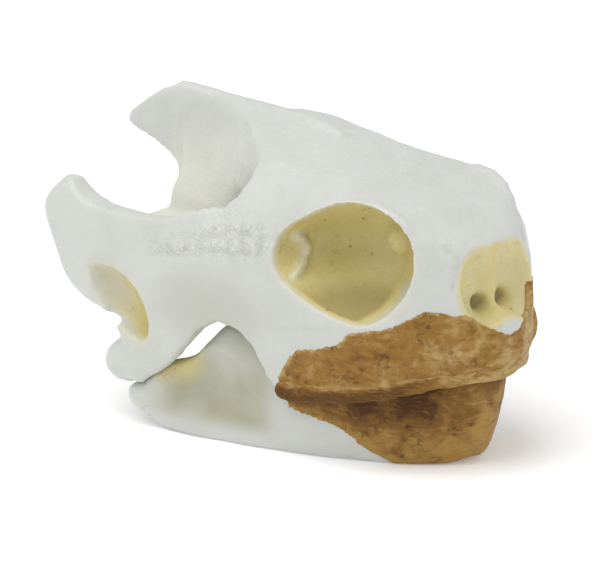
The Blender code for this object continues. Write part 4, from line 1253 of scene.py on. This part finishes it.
# Upper beak.
# The horn over the upper jaw's edge is thin keratin, ragged and golden along its upper border, with fibres
# along the jaw and a dark, rough, worn band at its biting edge. It grips the bone by its own growth.
UPPER_HORN = horn_finish(
    "upper horn", (0.135, 0.057, 0.008), (0.29, 0.15, 0.027), (0.50, 0.35, 0.14), (0.12, 0.048, 0.009),
    (0.50, 0.36, 0.14), 1.4,
)
upper_horn = smoothed(fuse(clay_of(upper_horn_form), 0.24), 1)
places = points_of(upper_horn)
floors = np.interp(places[1], [row[0] for row in HEAD], [row[4] for row in HEAD])
paint(upper_horn, "band", ramp(3.0, 1.5, places[2] - floors) * (0.35 + 0.65 * ramp(3.0, 10.0, places[1])))
paint(upper_horn, "border", ramp(0.9, 0.1, away_from(places, UPPER_LINE)))
paint(upper_horn, "gold_and_shade", 0.5 + 0.16 * ramp(8.0, 2.0, places[1]) + 0.08 * ramp(15.0, 22.0, places[1]))
paint(upper_horn, "crinkle", 0.45 + 3.0 * ramp(2.8, 1.4, places[2] - floors) * ramp(2.0, 8.0, places[1]))
upper_horn = with_relief(
    upper_horn, UPPER_HORN, lift=LIFT, unevenness=0.3, unevenness_size=0.25, crinkle=0.2, crinkle_size=1.7,
    stretch=(0.55, 0.55, 1.3), seed=5.0,
)
set_down("upper_horn", upper_horn, "upper_beak")


# Floor, lights and camera.
# A plain pale floor that runs out of sight, one wide soft light above and to the left, a weaker one from the
# right, and even white light all round.
def plain_finish(name, colour, roughness):
    finish, tree, shader, where = new_finish(name)
    cloud = noise_of(tree, where, 0.02, 2.0)
    shade = tinted(tree, ranged(tree, cloud, 0.3, 0.7), tuple(c * 0.995 for c in colour), colour)
    tree.links.new(shade, shader.inputs["Base Color"])
    shader.inputs["Roughness"].default_value = roughness
    shader.inputs["Specular IOR Level"].default_value = 0.1
    shader.inputs["Emission Color"].default_value = (1.0, 1.0, 1.0, 1.0)
    shader.inputs["Emission Strength"].default_value = 0.2
    return finish


floor_mesh = bpy.data.meshes.new("floor")
reach = 3.0
corners = [(-reach, -reach, 0), (reach, -reach, 0), (reach, reach, 0), (-reach, reach, 0)]
floor_mesh.from_pydata(corners, [], [(0, 1, 2, 3)])
floor_mesh.materials.append(plain_finish("white board", (0.93, 0.93, 0.93), 0.9))
floor = holding("floor", floor_mesh)
floor.location.z = -0.0001

world = bpy.data.worlds.new("studio")
bpy.context.scene.world = world
world.use_nodes = True
world.node_tree.nodes["Background"].inputs["Color"].default_value = (1.0, 1.0, 1.0, 1.0)
world.node_tree.nodes["Background"].inputs["Strength"].default_value = 0.62
bpy.context.scene.view_settings.view_transform = "Standard"


def soft_light(name, place, aim, size, power):
    lamp = bpy.data.lights.new(name, "AREA")
    lamp.shape = "DISK"
    lamp.size = size
    lamp.energy = power
    light = bpy.data.objects.new(name, lamp)
    bpy.context.scene.collection.objects.link(light)
    light.location = place
    light.rotation_euler = (Vector(aim) - Vector(place)).to_track_quat("-Z", "Y").to_euler()


soft_light("key light", (-0.22, 0.02, 0.60), (0.0, 0.0, 0.015), 0.6, 2.7)
soft_light("fill light", (0.45, -0.50, 0.30), (0.0, 0.0, 0.015), 0.4, 0.5)

LOOK_AT = Vector((0.0, 0.00335, 0.0151))
azimuth, elevation, distance = math.radians(-45), math.radians(17), 1.2
level = Vector((math.sin(azimuth), -math.cos(azimuth), 0.0))
towards = level * math.cos(elevation) + Vector((0.0, 0.0, math.sin(elevation)))
lens = bpy.data.cameras.new("camera")
lens.lens = 600.0
lens.sensor_width = 36.0
lens.clip_end = 20.0
camera = bpy.data.objects.new("camera", lens)
bpy.context.scene.collection.objects.link(camera)
camera.location = LOOK_AT + towards * distance
camera.rotation_euler = (-towards).to_track_quat("-Z", "Y").to_euler()
bpy.context.scene.camera = camera
